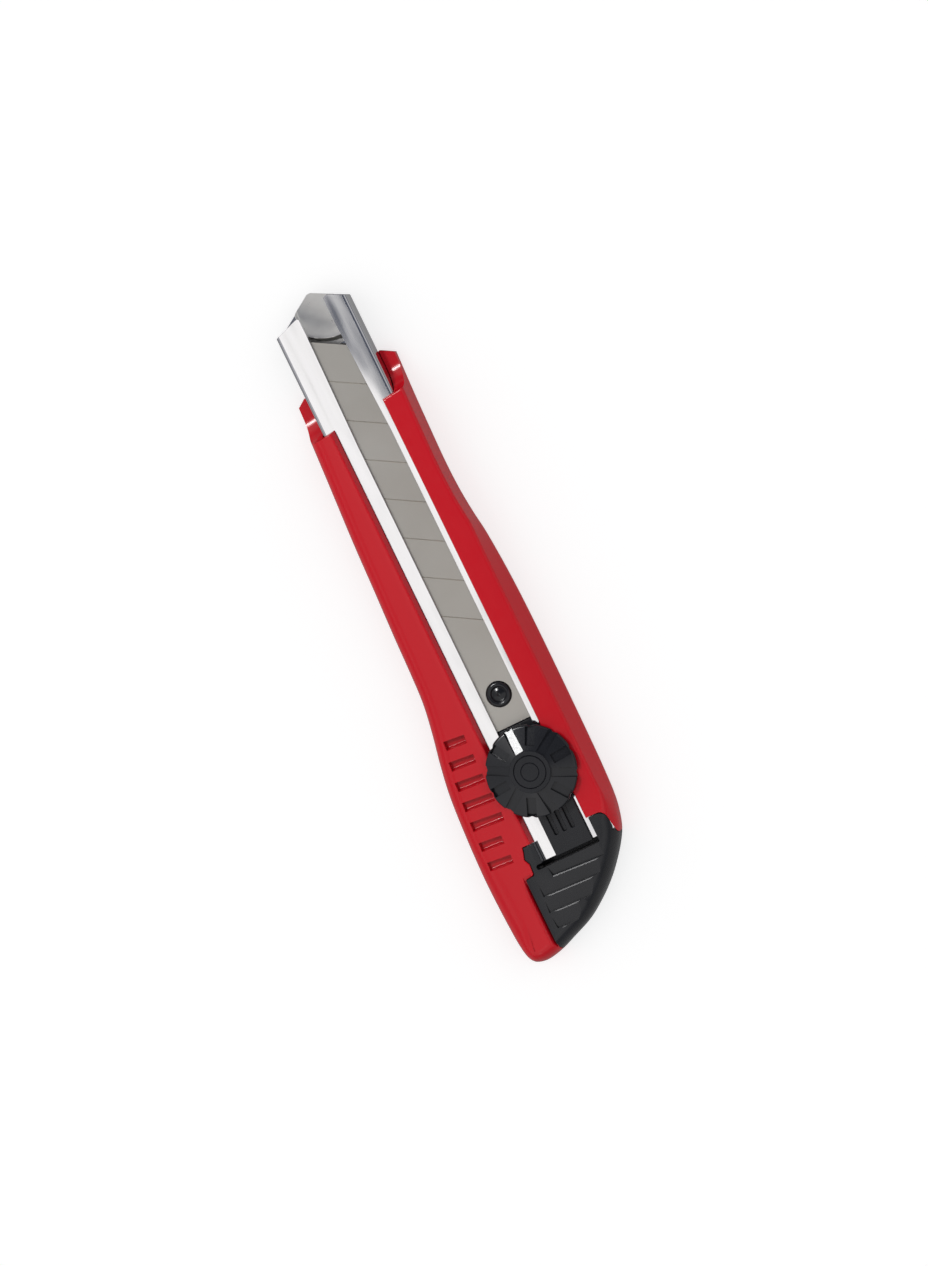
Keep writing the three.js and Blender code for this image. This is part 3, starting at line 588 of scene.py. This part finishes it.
POCKET_DEPTH = 1.9
POCKET_FROM_OUTLINE = 3.3
UPPER_RISE, LOWER_RISE = 0.088, 0.033               # both long edges rise to the left


def outline_left_x(y):
    for (x0, y0), (x1, y1) in zip(LEFT_SIDE, LEFT_SIDE[1:]):
        if y1 <= y <= y0:
            return mix(x0, x1, (y - y0) / (y1 - y0))
    return LEFT_SIDE[-1][0]


def thumb_pocket(right, upper):
    """A deep pocket: upright upper wall and ends, flat floor, hollow foot and a steep lower wall."""
    lower = upper - POCKET_HEIGHT
    left = outline_left_x(upper) + POCKET_FROM_OUTLINE
    floor_z = FACE_Z - POCKET_DEPTH
    lean, foot = math.radians(72), 0.24
    rise = foot * (1 - math.cos(lean))
    run = (POCKET_DEPTH - rise) / math.tan(lean)
    centre = lower + run + foot * math.sin(lean)
    side = [(upper, FACE_Z + 1), (upper, floor_z)]
    for k in range(8):
        a = lean * k / 7
        side.append((centre - foot * math.sin(a), floor_z + foot * (1 - math.cos(a))))
    side += [(lower, FACE_Z), (lower, FACE_Z + 1)]
    tool = prism_x("pocket", side, left, right)
    for vertex in tool.data.vertices:
        x, y = vertex.co.x, vertex.co.y
        rise = mix(LOWER_RISE, UPPER_RISE, (y - lower) / POCKET_HEIGHT)
        vertex.co.x += 0.06 * (y - upper)
        vertex.co.y += rise * (right - x)
    return tool


def ear_tool():
    """Open space above the ears, swept up in a hollow curve to the slanted ends of the rails."""
    fillet = 0.45
    side = [(RAIL_FRONT_Y - fillet, FACE_Z + 1), (RAIL_FRONT_Y - fillet, FACE_Z + 1e-4)]
    for k in range(1, 6):
        a = QUARTER * k / 5
        side.append((RAIL_FRONT_Y - fillet + fillet * math.sin(a), FACE_Z - fillet + fillet * math.cos(a)))
    centre = (RAIL_FRONT_Y + EAR_SWEEP, EAR_Z + EAR_SWEEP)
    start = math.asin((FACE_Z - fillet - centre[1]) / EAR_SWEEP)
    for k in range(13):
        a = mix(math.pi - start, 1.5 * math.pi, k / 12)
        side.append((centre[0] + EAR_SWEEP * math.cos(a), centre[1] + EAR_SWEEP * math.sin(a)))
    side += [(120, EAR_Z + 0.35), (120, FACE_Z + 1)]
    tool = prism_x("ear_space", side, -25, 25)
    for vertex in tool.data.vertices:
        vertex.co.y += NOSE_SLANT * vertex.co.x
    return tool


def horn_edge():
    """Rounds the horn's inner edge along the cap, growing from nothing at the cap's step."""
    rings = []
    for y, r in ((-21.4, 0.02), (-22.4, 0.5), (-24, 1.2), (-26.5, 1.6), (-45, 1.6)):
        edge, top = HORN_EDGE_X, face_z(HORN_EDGE_X, 0) + 0.02
        ring = [(edge + 2, y, top + 2), (edge - r, y, top + 2)]
        for k in range(7):
            a = QUARTER * k / 6
            ring.append((edge - r + r * math.sin(a), y, top - r + r * math.cos(a)))
        ring.append((edge + 2, y, top - r))
        rings.append(ring)
    return loft("horn_edge", rings)


def handle(material):
    obj = outer_form("handle_shell")
    slot = [(SLOT_LEFT_X, -30), (SLOT_RIGHT_X, -30), (SLOT_RIGHT_X, 130), (SLOT_LEFT_X, 130)]
    corners = CAP_SEAM[::-1]
    seam = rounded([c[:2] for c in corners], [c[2] for c in corners])
    cut(
        obj,
        ear_tool(),
        flared_tool("slot", slot, LIP_Z - 0.8, 0.35, SLOT_DRAFT, LIP_Z),
        flared_tool("cap_space", seam, -1.0, 0.25),
        box(
            "tunnel",
            (CHANNEL_LOW.x - TUNNEL_PLAY, -26, FLOOR_Z - TUNNEL_PLAY),
            (CHANNEL_HIGH.x + TUNNEL_PLAY, 130, LIP_Z + 0.04),
        ),
    )
    cut(obj, horn_edge())
    for i, right in enumerate(POCKET_RIGHT_ENDS):
        cut(obj, thumb_pocket(right, POCKET_FIRST_UPPER - i * POCKET_PITCH))
    flatten(obj)
    return finish_piece(obj, "handle", "handle_body", material, 40)


# ------------------------------------------------------------------ end cap

CAP_GAP = 0.13
RIB_DEPTH, RIB_FOOT = 0.6, 0.2
CREST_CHAMFER = 0.24
# Left and right end of each rib's crest; the ramps between them end at a slanted right-hand boundary
RIB_CRESTS = [
    ((-6.6, -23.9), (6.5, -24.55)), ((-10.8, -27.45), (4.8, -27.95)),
    ((-11.2, -31.35), (0.6, -31.7)), ((-11.0, -35.45), (-5.6, -35.6)),
]
TONGUE_END = [(-10.9, -28), (-11.45, -35.9), (8, -36.4), (8, -28)]     # rounds the last rib's left end
RIB_TOPS = [((-6.9, -21.2), (6.4, -21.2)), ((-10.6, -23.9), (6.5, -24.55)), ((-10.85, -27.45), (4.8, -27.95)),
            ((-11.2, -31.35), (0.6, -31.7))]


def rib_ramp(upper, lower):
    """A wedge of air: a ramp from the upper crest down to the foot of the next, broken, step."""
    rings = []
    for (x0, y0), (x1, y1) in zip(upper, lower):
        rings.append([
            (x0, y0, FACE_Z + 1), (x0, y0 - CREST_CHAMFER, FACE_Z + 0.002),
            (x1, y1 + RIB_FOOT, FACE_Z - RIB_DEPTH), (x1, y1, FACE_Z - CREST_CHAMFER / 4),
            (x1, y1 - CREST_CHAMFER, FACE_Z + 0.002), (x1, y1 - CREST_CHAMFER, FACE_Z + 1),
        ])
    return loft("rib", rings)


def cap_edge():
    """The seam's corners, moved in by the gap between the cap and the handle."""
    corners = [Vector(c[:2]) for c in CAP_SEAM]
    shrunk = []
    for before, corner, after in zip(corners[:-3], corners[1:-2], corners[2:-1]):
        a, b = (corner - before).normalized(), (after - corner).normalized()
        n = Vector((a.y, -a.x)) + Vector((b.y, -b.x))
        shrunk.append(corner + n / max(1 + a.dot(b), 0.3) * CAP_GAP)
    return shrunk


def end_cap(material):
    obj = outer_form("end_cap_shell")
    shrunk = cap_edge()
    outside = [Vector((CAP_SEAM[0][0] + CAP_GAP, -45)), *shrunk, Vector((30, shrunk[-1].y + 0.4))]
    ring = [Vector((-30, -45)), *outside, Vector((30, 120)), Vector((-30, 120))]
    radii = [0, 0] + [c[2] for c in CAP_SEAM[1:-2]] + [0, 0, 0]
    cut(obj, flared_tool("outside", rounded(ring, radii), -1.0, 0.2))
    tail_gap = [(-7.5, -21.2), (6.9, -21.2), (6.9, -10), (-7.5, -10)]
    slit = rounded([(-9.2, -21.3), (6.4, -21.3), (6.4, -20.15), (-9.2, -20.15)], [0.5, 0.1, 0.1, 0.5])
    cut(
        obj,
        box("under_tabs", (-12, -20.3, -1), (12, -10, LIP_Z + 0.15)),
        flared_tool("tail_gap", tail_gap, 1.6, 0.2),
        flared_tool("slit", slit, 1.6, 0.12),
    )
    for upper, lower in zip(RIB_TOPS[:-1], RIB_CRESTS[:-1]):
        cut(obj, rib_ramp(upper, lower))
    rounded_end = prism_z("tongue_end", rounded(TONGUE_END, [0, 1.9, 0, 0]), 0, FACE_Z + 2)
    cut(obj, combine(rib_ramp(RIB_TOPS[-1], RIB_CRESTS[-1]), rounded_end, "INTERSECT"))
    slope = [
        (-14, FACE_Z + 2), (-14, FACE_Z - 0.65), (-13.0, FACE_Z - 0.38), (-11.75, FACE_Z - 0.05),
        (-11.4, FACE_Z + 2),
    ]
    cut(obj, prism_y("left_slope", slope, -45, -22.6))
    flatten(obj)
    bevel(obj, 0.09, 2, 30)
    return finish_piece(obj, "cap", "end_cap", material, 12)


# ------------------------------------------------------------------ steel channel

LIP_EDGES = (-4.24, 4.55)
LIP_TIP_EDGES = (-3.73, 3.63)
BEND = 0.95
TIP_Y = 121.0
RAMP_LEFT, RAMP_RIGHT, RAMP_REAR = -5.4, 5.2, 107.6
RAMP_TWIST = 0.045


def channel_section(y):
    """Cross-section of the bent sheet at station y; the lips lean in or out by a fraction of a millimetre."""
    left, right = CHANNEL_LOW.x, CHANNEL_HIGH.x
    low = FLOOR_Z
    steps = 6
    left_high = LIP_Z - 0.2
    right_high = LIP_Z
    outer, inner = [], []
    corners = [
        (left + BEND, left_high - BEND, 90), (left + BEND, low + BEND, 180),
        (right - BEND, low + BEND, 270), (right - BEND, right_high - BEND, 0),
    ]
    for cx, cz, start in corners:
        for k in range(steps + 1):
            a = math.radians(start + 90 * k / steps)
            outer.append((cx + BEND * math.cos(a), cz + BEND * math.sin(a)))
            inner.append((cx + (BEND - SHEET) * math.cos(a), cz + (BEND - SHEET) * math.sin(a)))
    right_edge = LIP_Z - mix(0.16, 0.075, smoothstep(84, 104, y))
    lips = [(LIP_TIP_EDGES[1], right_edge), (LIP_TIP_EDGES[1], right_edge - SHEET)]
    return [(LIP_TIP_EDGES[0], LIP_Z)] + outer + lips + inner[::-1] + [(LIP_TIP_EDGES[0], LIP_Z - SHEET)]


def channel(material):
    left, right = CHANNEL_LOW.x, CHANNEL_HIGH.x
    rear = CHANNEL_LOW.y
    stations = [rear, 40, 84, 88, 92, 96, 100, TIP_Y + 1]
    obj = loft("channel_shell", [[(x, y, z) for x, z in channel_section(y)] for y in stations])
    gap = [
        (LIP_EDGES[0], rear - 1), (LIP_EDGES[1], rear - 1), (LIP_EDGES[1], 84), (LIP_TIP_EDGES[1], 113),
        (LIP_TIP_EDGES[1], 123), (LIP_TIP_EDGES[0], 123), (LIP_TIP_EDGES[0], 113), (LIP_EDGES[0], 84),
    ]
    ahead_of_floor = [
        (left - 1, 114.2), (left, 114.7), (-1.6, 120.2), (-0.7, 120.85), (0, 121.0), (0.7, 120.85),
        (1.6, 120.2),
        (right, 116.5), (right + 1, 116.0), (right + 1, 124), (left - 1, 124),
    ]
    ahead_of_lips = [
        (left - 1, 114.4), (left, 114.7), (-4.3, 116.65), (-3.8, 116.4), (3.7, 118.3), (5.1, 118.8),
        (right, 116.9), (right + 1, 116.4), (right + 1, 124), (left - 1, 124),
    ]
    cut(
        obj,
        prism_z("gap", gap, LIP_Z - 2 * SHEET, LIP_Z + 1),
        prism_z("floor_tip", ahead_of_floor, FLOOR_Z - 1, LIP_Z + 1),
        prism_z("lip_tips", ahead_of_lips, FLOOR_Z + BEND + 0.1, LIP_Z + 1),
        box("ramp_window", (RAMP_LEFT, RAMP_REAR, FLOOR_Z - 1), (RAMP_RIGHT, 123, FLOOR_Z + 1.5)),
    )
    flatten(obj)
    bevel(obj, 0.07, 2, 50)
    return finish_piece(obj, "handle", "guide_channel", material, 30)


def ramp(material):
    """The pressed-up floor between the lips, a shaped sheet that ends under the blade."""
    x0, x1, y0 = RAMP_LEFT, RAMP_RIGHT, RAMP_REAR
    nx, ny = 60, 90
    crest = BLADE_LOW.z - 0.3

    def height(x, y):
        edge = 109.55 - 0.36 * x + 0.05 * x * x
        run = max(y - edge, 0.0)
        nose = crest - (crest - FLOOR_Z - SHEET) * (1 - math.exp(-0.22 * run * run / (run + 1.5)))
        bend = FLOOR_Z + SHEET
        top = bend + 0.35 * math.log(1 + math.exp(min((nose - bend) / 0.35, 40.0)))
        up = smoothstep(edge - 0.5, edge + 0.25, y)
        across = smoothstep(x0 + 0.1, x0 + 1.1, x) * smoothstep(x1 - 0.1, x1 - 1.1, x)
        twist = RAMP_TWIST * x * smoothstep(2, 6, run)
        return mix(bend, top + twist, up * across)

    def front(x):
        return min(121.0 - 0.611 * max(-x - 0.6, 0), 121.0 - 0.532 * max(x - 0.6, 0)) - 0.12 * min(abs(x), 1)

    bm = bmesh.new()
    top, bottom = [], []
    for i in range(nx + 1):
        x = mix(x0, x1, i / nx)
        limit = front(x)
        column_top, column_bottom = [], []
        for j in range(ny + 1):
            y = mix(y0, limit, j / ny)
            z = height(x, y)
            column_top.append(bm.verts.new((x, y, z)))
            column_bottom.append(bm.verts.new((x, y, z - SHEET)))
        top.append(column_top)
        bottom.append(column_bottom)
    for i in range(nx):
        for j in range(ny):
            bm.faces.new((top[i][j], top[i + 1][j], top[i + 1][j + 1], top[i][j + 1]))
            bm.faces.new((bottom[i][j], bottom[i][j + 1], bottom[i + 1][j + 1], bottom[i + 1][j]))
    for i in range(nx):
        bm.faces.new((top[i][0], bottom[i][0], bottom[i + 1][0], top[i + 1][0]))
        bm.faces.new((top[i][ny], top[i + 1][ny], bottom[i + 1][ny], bottom[i][ny]))
    for j in range(ny):
        bm.faces.new((top[0][j], top[0][j + 1], bottom[0][j + 1], bottom[0][j]))
        bm.faces.new((top[nx][j], bottom[nx][j], bottom[nx][j + 1], top[nx][j + 1]))
    obj = as_object("channel_ramp", bm)
    return finish_piece(obj, "handle", None, material, 40)


# ------------------------------------------------------------------ blade

SCORES = 7
SCORE_PITCH = 10.0
BLADE_END_Y = 108.4
SLANT = math.radians(30)


def blade(material):
    left, right = BLADE_LOW.x, BLADE_HIGH.x
    low, high = BLADE_LOW.z, BLADE_HIGH.z
    middle = (low + high) / 2
    section = [
        (left, middle - 0.03), (left + 1.7, low), (right, low), (right, high), (left + 1.7, high),
        (left, middle + 0.03),
    ]
    obj = prism_y("blade_strip", section, BLADE_LOW.y, BLADE_HIGH.y + 2)
    rise = math.tan(SLANT)
    end = [
        (left - 1, BLADE_END_Y + rise * (-left + 1)), (right + 1, BLADE_END_Y - rise * (right + 1)),
        (right + 1, 130), (left - 1, 130),
    ]
    hole = [
        (3.1 * math.cos(2 * math.pi * k / 48), 19 + 3.1 * math.sin(2 * math.pi * k / 48)) for k in range(48)
    ]
    cut(obj, prism_z("slant", end, 0, 10), prism_z("hole", hole, 0, 10))
    along = Vector((math.cos(SLANT), -math.sin(SLANT)))
    across = Vector((math.sin(SLANT), math.cos(SLANT)))
    half, depth = 0.16, 0.13
    for i in range(SCORES):
        centre = Vector((0, BLADE_END_Y - SCORE_PITCH * (i + 1)))
        rings = []
        for reach in (-14, 14):
            p = centre + along * reach
            rings.append([
                (*(p - across * half), high + 0.05), (*p, high - depth), (*(p + across * half), high + 0.05),
            ])
        cut(obj, loft("score", rings))
    flatten(obj)
    return finish_piece(obj, "slider", "snap_blade", material, 5)


# ------------------------------------------------------------------ slider

def slider(material):
    rear, front = SLIDER_LOW.y, SLIDER_HIGH.y
    left, right = SLIDER_LOW.x, SLIDER_HIGH.x
    low = SLIDER_LOW.z
    obj = box("slider_carrier", (left, 10, low), (right, front, BLADE_LOW.z - 0.1))
    join(
        obj,
        box("middle", (left, rear, low), (right, 11, LIP_Z - 0.75)),
        box("tail", (-4.1, rear, low), (4.25, -6.4, 7.5)),
        box("flange", (-4.1, rear, LIP_Z + 0.1), (5.3, -6.4, 7.5)),
    )
    cut(
        obj,
        box("plate_recess", (left - 1, -5.7, 4.45), (right + 1, 5.7, 9)),
        lathe("head_recess", [(0, 3.65), (3.9, 3.65), (3.9, 5), (0, 5)], 48),
    )
    for x in (-1.8, 0.36, 2.4):
        groove = rounded([(x - 0.5, -15.8), (x + 0.5, -15.8), (x + 0.5, -5), (x - 0.5, -5)], [0.4, 0.4, 0, 0])
        cut(obj, prism_z("groove", groove, 6.75, 9))
    flatten(obj)
    bevel(obj, 0.14, 2, 50)
    return finish_piece(obj, "slider", "blade_slider", material, 30)


def boss(material):
    """The round button that carries the blade, with a raised rim and a dimple."""
    top = 6.55
    profile = [(0, 3.5), (2.85, 3.5), (2.85, top - 0.1)]
    for k in range(9):
        a = math.pi * k / 8
        profile.append((2.32 + 0.5 * math.cos(a), top + 0.3 * math.sin(a)))
    profile += [(1.7, top - 0.3), (1.55, top - 0.38)]
    for k in range(6):
        t = k / 5
        profile.append((mix(1.5, 0.5, t), top - 0.38 + 0.22 * math.sin(QUARTER * t)))
    profile += [(0.42, top - 0.25), (0.3, top - 0.36), (0, top - 0.38)]
    obj = lathe("blade_boss", profile, 64, (0.0, 19.0))
    return finish_piece(obj, "slider", None, material, 50)


# ------------------------------------------------------------------ lock wheel

RIM_R = 10.8
HUB_R = 4.9
INSERT_BORE_R, INSERT_SEAT_Z = 3.65, 10.45
PLUG_SEAT_R, PLUG_SEAT_Z = 3.82, 10.75
SLOT_TURN, CLOSED_TURN = -4.75, 25      # degrees clockwise from +Y
RECESS_WIDTH = 2.2


def wheel(material):
    seat, top = WHEEL_LOW.z, WHEEL_HIGH.z
    rim_low, rim_top = 9.25, 10.75
    shoulder = top - 0.35
    profile = [(INSERT_BORE_R, seat), (HUB_R, seat), (HUB_R, rim_low), (RIM_R - 0.5, rim_low)]
    for k in range(1, 5):
        a = QUARTER * k / 4
        profile.append((RIM_R - 0.5 + 0.5 * math.sin(a), rim_low + 0.5 - 0.5 * math.cos(a)))
    for k in range(6):
        a = QUARTER * k / 5
        profile.append((RIM_R - 0.6 + 0.6 * math.cos(a), rim_top - 0.6 + 0.6 * math.sin(a)))
    for k in range(1, 7):
        t = k / 6
        profile.append((mix(RIM_R - 0.6, HUB_R + 0.15, t), mix(rim_top, shoulder, t)))
    profile += [
        (HUB_R, shoulder + 0.02), (HUB_R - 0.05, top - 0.08), (HUB_R - 0.15, top),
        (PLUG_SEAT_R + 0.1, top), (PLUG_SEAT_R, top - 0.1), (PLUG_SEAT_R, PLUG_SEAT_Z), (2.8, PLUG_SEAT_Z),
        (2.8, INSERT_SEAT_Z), (INSERT_BORE_R, INSERT_SEAT_Z),
    ]
    obj = lathe("wheel_shell", profile, 180, ring=True)
    notch_turn = math.radians(SLOT_TURN)
    for v in obj.data.vertices:
        r = math.hypot(v.co.x, v.co.y)
        if r > 8:
            angle = math.atan2(v.co.x, v.co.y) - notch_turn
            away = (angle / math.radians(30) + 0.5) % 1.0 - 0.5
            squeeze = 1 - 0.035 * math.exp(-(away / 0.1) ** 2) * (r - 8) / (RIM_R - 8)
            v.co.x *= squeeze
            v.co.y *= squeeze
    slope = (rim_top - shoulder) / (RIM_R - 0.6 - HUB_R)

    def recess(inner, outer, depths, degrees):
        """Cuts a radial recess whose floor steepens outwards."""
        turn = math.radians(degrees)
        out = Vector((math.sin(turn), math.cos(turn)))
        side = Vector((math.cos(turn), -math.sin(turn)))
        steps = 8
        rings = []
        for lift, grow in ((0.0, 0.0), (3.0, 0.08)):
            edges = {-1: [], 1: []}
            for hand, edge in edges.items():
                for k in range(steps + 1):
                    t = k / steps
                    r = mix(inner, outer, t)
                    p = out * r + side * (hand * (RECESS_WIDTH / 2 + grow))
                    depth = depths[0] + depths[1] * t + depths[2] * t * t
                    floor_z = shoulder + slope * (r - HUB_R) - depth
                    edge.append((p.x, p.y, floor_z + lift))
            rings.append(edges[-1] + edges[1][::-1])
        return loft("recess", rings)

    for k in range(6):
        cut(obj, recess(HUB_R + 0.05, RIM_R + 0.5, (0.35, 0.2, 0.75), SLOT_TURN + 60 * k))
        cut(obj, recess(6.0, RIM_R - 0.45, (0.7, 0.1, 0.1), CLOSED_TURN + 60 * k))
    flatten(obj)
    bevel(obj, 0.07, 2, 38)
    return finish_piece(obj, "wheel", "lock_wheel", material, 30)


def hub_cover(material):
    """The pressed-in plug, flush with the hub and outlined by its own fine groove."""
    top = WHEEL_HIGH.z
    radius = PLUG_SEAT_R - 0.08
    seat = PLUG_SEAT_Z + 0.05
    profile = [(0, seat), (radius, seat), (radius, top - 0.1), (radius - 0.1, top)]
    profile += [(2.25, top), (2.2, top - 0.04), (2.1, top - 0.14), (2.0, top - 0.04), (1.95, top), (0, top)]
    obj = lathe("hub_plug_disc", profile, 96)
    return finish_piece(obj, "wheel", "hub_plug", material, 30)


# ------------------------------------------------------------------ studio

CAMERA_AIM = Vector((-1.1, 35.1, 6.3)) * MM
CAMERA_DISTANCE = 0.9
CAMERA_SIDE = math.radians(15)
CAMERA_ROLL = math.radians(25.9)
LENS, SENSOR = 111.5, 36.0


def camera():
    data = bpy.data.cameras.new("camera")
    data.sensor_fit = "VERTICAL"
    data.sensor_height = SENSOR
    data.lens = LENS
    data.clip_start = 0.01
    obj = bpy.data.objects.new("camera", data)
    bpy.context.scene.collection.objects.link(obj)
    back = Vector((math.sin(CAMERA_SIDE), 0, math.cos(CAMERA_SIDE)))
    across = Vector((math.cos(CAMERA_SIDE), 0, -math.sin(CAMERA_SIDE)))
    along = Vector((0, 1, 0))
    right = across * math.cos(CAMERA_ROLL) - along * math.sin(CAMERA_ROLL)
    up = across * math.sin(CAMERA_ROLL) + along * math.cos(CAMERA_ROLL)
    place = CAMERA_AIM + back * CAMERA_DISTANCE
    rows = [[right[i], up[i], back[i], place[i]] for i in range(3)] + [[0, 0, 0, 1]]
    obj.matrix_world = Matrix(rows)
    bpy.context.scene.camera = obj
    return obj


def area_light(name, direction, distance, size, power, colour=(1, 1, 1)):
    data = bpy.data.lights.new(name, "AREA")
    data.shape = "RECTANGLE"
    data.size, data.size_y = size
    data.energy = power
    data.color = colour
    obj = bpy.data.objects.new(name, data)
    bpy.context.scene.collection.objects.link(obj)
    way = Vector(direction).normalized()
    obj.location = CAMERA_AIM + way * distance
    obj.rotation_euler = way.to_track_quat("Z", "Y").to_euler()
    return obj


def floor():
    data = bpy.data.meshes.new("floor")
    half = 3.0
    z = -0.0002
    corners = [(-half, -half, z), (half, -half, z), (half, half, z), (-half, half, z)]
    data.from_pydata(corners, [], [(0, 1, 2, 3)])
    obj = bpy.data.objects.new("floor", data)
    bpy.context.scene.collection.objects.link(obj)
    m = Nodes("pale_floor")
    path = m.node("ShaderNodeLightPath").outputs
    plain, mirrored = (0.55, 0.55, 0.55, 1), (0.27, 0.27, 0.27, 1)
    m.link(m.blend_colour(path["Is Glossy Ray"], plain, mirrored), m.shader.inputs["Base Color"])
    m.shader.inputs["Roughness"].default_value = 0.8
    m.shader.inputs["Specular IOR Level"].default_value = 0.1
    m.shader.inputs["Emission Color"].default_value = (1, 1, 1, 1)
    glow = m.ranged(path["Is Camera Ray"], 0, 1, FLOOR_GLOW, FLOOR_WHITE)
    m.link(glow, m.shader.inputs["Emission Strength"])
    obj.data.materials.append(m.material)


WORLD_DARK = (0.085, 0.095, 0.125, 1)
WORLD_BRIGHT = (1.25, 1.225, 1.2, 1)
FLOOR_GLOW, FLOOR_WHITE = 0.15, 0.65      # as a light on the knife, and as the camera sees it


def world():
    """Pale surroundings for diffuse light. In reflections: dark overhead, a bright strip to the left,
    a fainter one to the right and a soft glow towards the tail."""
    w = bpy.data.worlds.new("studio")
    bpy.context.scene.world = w
    w.use_nodes = True
    tree = w.node_tree
    background = tree.nodes["Background"]
    split = tree.nodes.new("ShaderNodeSeparateXYZ")
    place = tree.nodes.new("ShaderNodeTexCoord")
    tree.links.new(place.outputs["Generated"], split.inputs[0])
    x, y, z = split.outputs["X"], split.outputs["Y"], split.outputs["Z"]

    def ranged(source, low, high, out_low, out_high):
        node = tree.nodes.new("ShaderNodeMapRange")
        node.interpolation_type = "SMOOTHSTEP"
        node.inputs["From Min"].default_value = low
        node.inputs["From Max"].default_value = high
        node.inputs["To Min"].default_value = out_low
        node.inputs["To Max"].default_value = out_high
        tree.links.new(source, node.inputs["Value"])
        return node.outputs["Result"]

    def combined(kind, a, b):
        node = tree.nodes.new("ShaderNodeMath")
        node.operation = kind
        tree.links.new(a, node.inputs[0])
        tree.links.new(b, node.inputs[1])
        return node.outputs[0]

    strip = ranged(x, -0.275, -0.31, 0.0, 1.0)
    left = combined("MINIMUM", strip, ranged(x, -0.4, -0.335, 0.28, 1.0))
    right = ranged(x, 0.35, 0.6, 0.0, 0.3)
    tail = ranged(y, -0.04, -0.095, 0.0, 0.5)
    ends = ranged(z, 0.85, 0.6, 0.0, 0.4)
    above = ranged(z, 0.3, 0.55, 0.2, 1.0)
    pale = combined("MAXIMUM", combined("MAXIMUM", left, right), combined("MAXIMUM", ends, tail))
    blend = tree.nodes.new("ShaderNodeMix")
    blend.data_type = "RGBA"
    tree.links.new(combined("MULTIPLY", pale, above), blend.inputs[0])
    blend.inputs[6].default_value = WORLD_DARK
    blend.inputs[7].default_value = WORLD_BRIGHT
    sideways = tree.nodes.new("ShaderNodeMath")
    sideways.operation = "ABSOLUTE"
    tree.links.new(x, sideways.inputs[0])
    soft = ranged(sideways.outputs[0], 0.2, 0.9, 0.42, 1.3)
    diffuse = tree.nodes.new("ShaderNodeLightPath").outputs["Is Diffuse Ray"]
    lighting = tree.nodes.new("ShaderNodeMix")
    lighting.data_type = "RGBA"
    tree.links.new(diffuse, lighting.inputs[0])
    tree.links.new(blend.outputs[2], lighting.inputs[6])
    tree.links.new(soft, lighting.inputs[7])
    tree.links.new(lighting.outputs[2], background.inputs["Color"])
    background.inputs["Strength"].default_value = 1.0


def studio(mouldings):
    """The key light is flagged off the steel, so that it only puts small highlights on the mouldings."""
    floor()
    world()
    key = area_light("key", (-0.285, 0.46, 0.84), 0.9, (0.17, 0.14), 2.8)
    lit = bpy.data.collections.new("lit_by_key")
    for piece in mouldings:
        lit.objects.link(piece)
    key.light_linking.receiver_collection = lit
    scene = bpy.context.scene
    scene.view_settings.view_transform = "Standard"
    scene.view_settings.look = "None"
    scene.view_settings.exposure = 0.0
    scene.view_settings.gamma = 1.0


# ------------------------------------------------------------------ build

def repaint(node, material):
    """Gives a carried-over CAD node its procedural material."""
    obj = frame["nodes"][node]
    obj.data.materials.clear()
    obj.data.materials.append(material)


red = red_plastic()
satin_black = black_plastic("black_satin_plastic", 26, 0.24, 0.32)
slider_black = black_plastic("black_slider_plastic", 25, 0.24, 0.32)
gloss_black = black_plastic("black_gloss_plastic", 22, 0.12, 0.2)
wheel_black = black_plastic("black_wheel_plastic", 27, 0.17, 0.23)
steel = channel_steel()

mouldings = [
    handle(red), end_cap(satin_black), slider(slider_black), boss(gloss_black), wheel(wheel_black),
    hub_cover(wheel_black),
]
channel(steel)
ramp(pressed_steel())
blade(blade_steel())
plated = plated_steel()
repaint("clamp_plate", plated)
repaint("clamp_stud", plated)
repaint("thrust_washer", plated)
repaint("threaded_insert", turned_brass())
studio(mouldings)
camera()
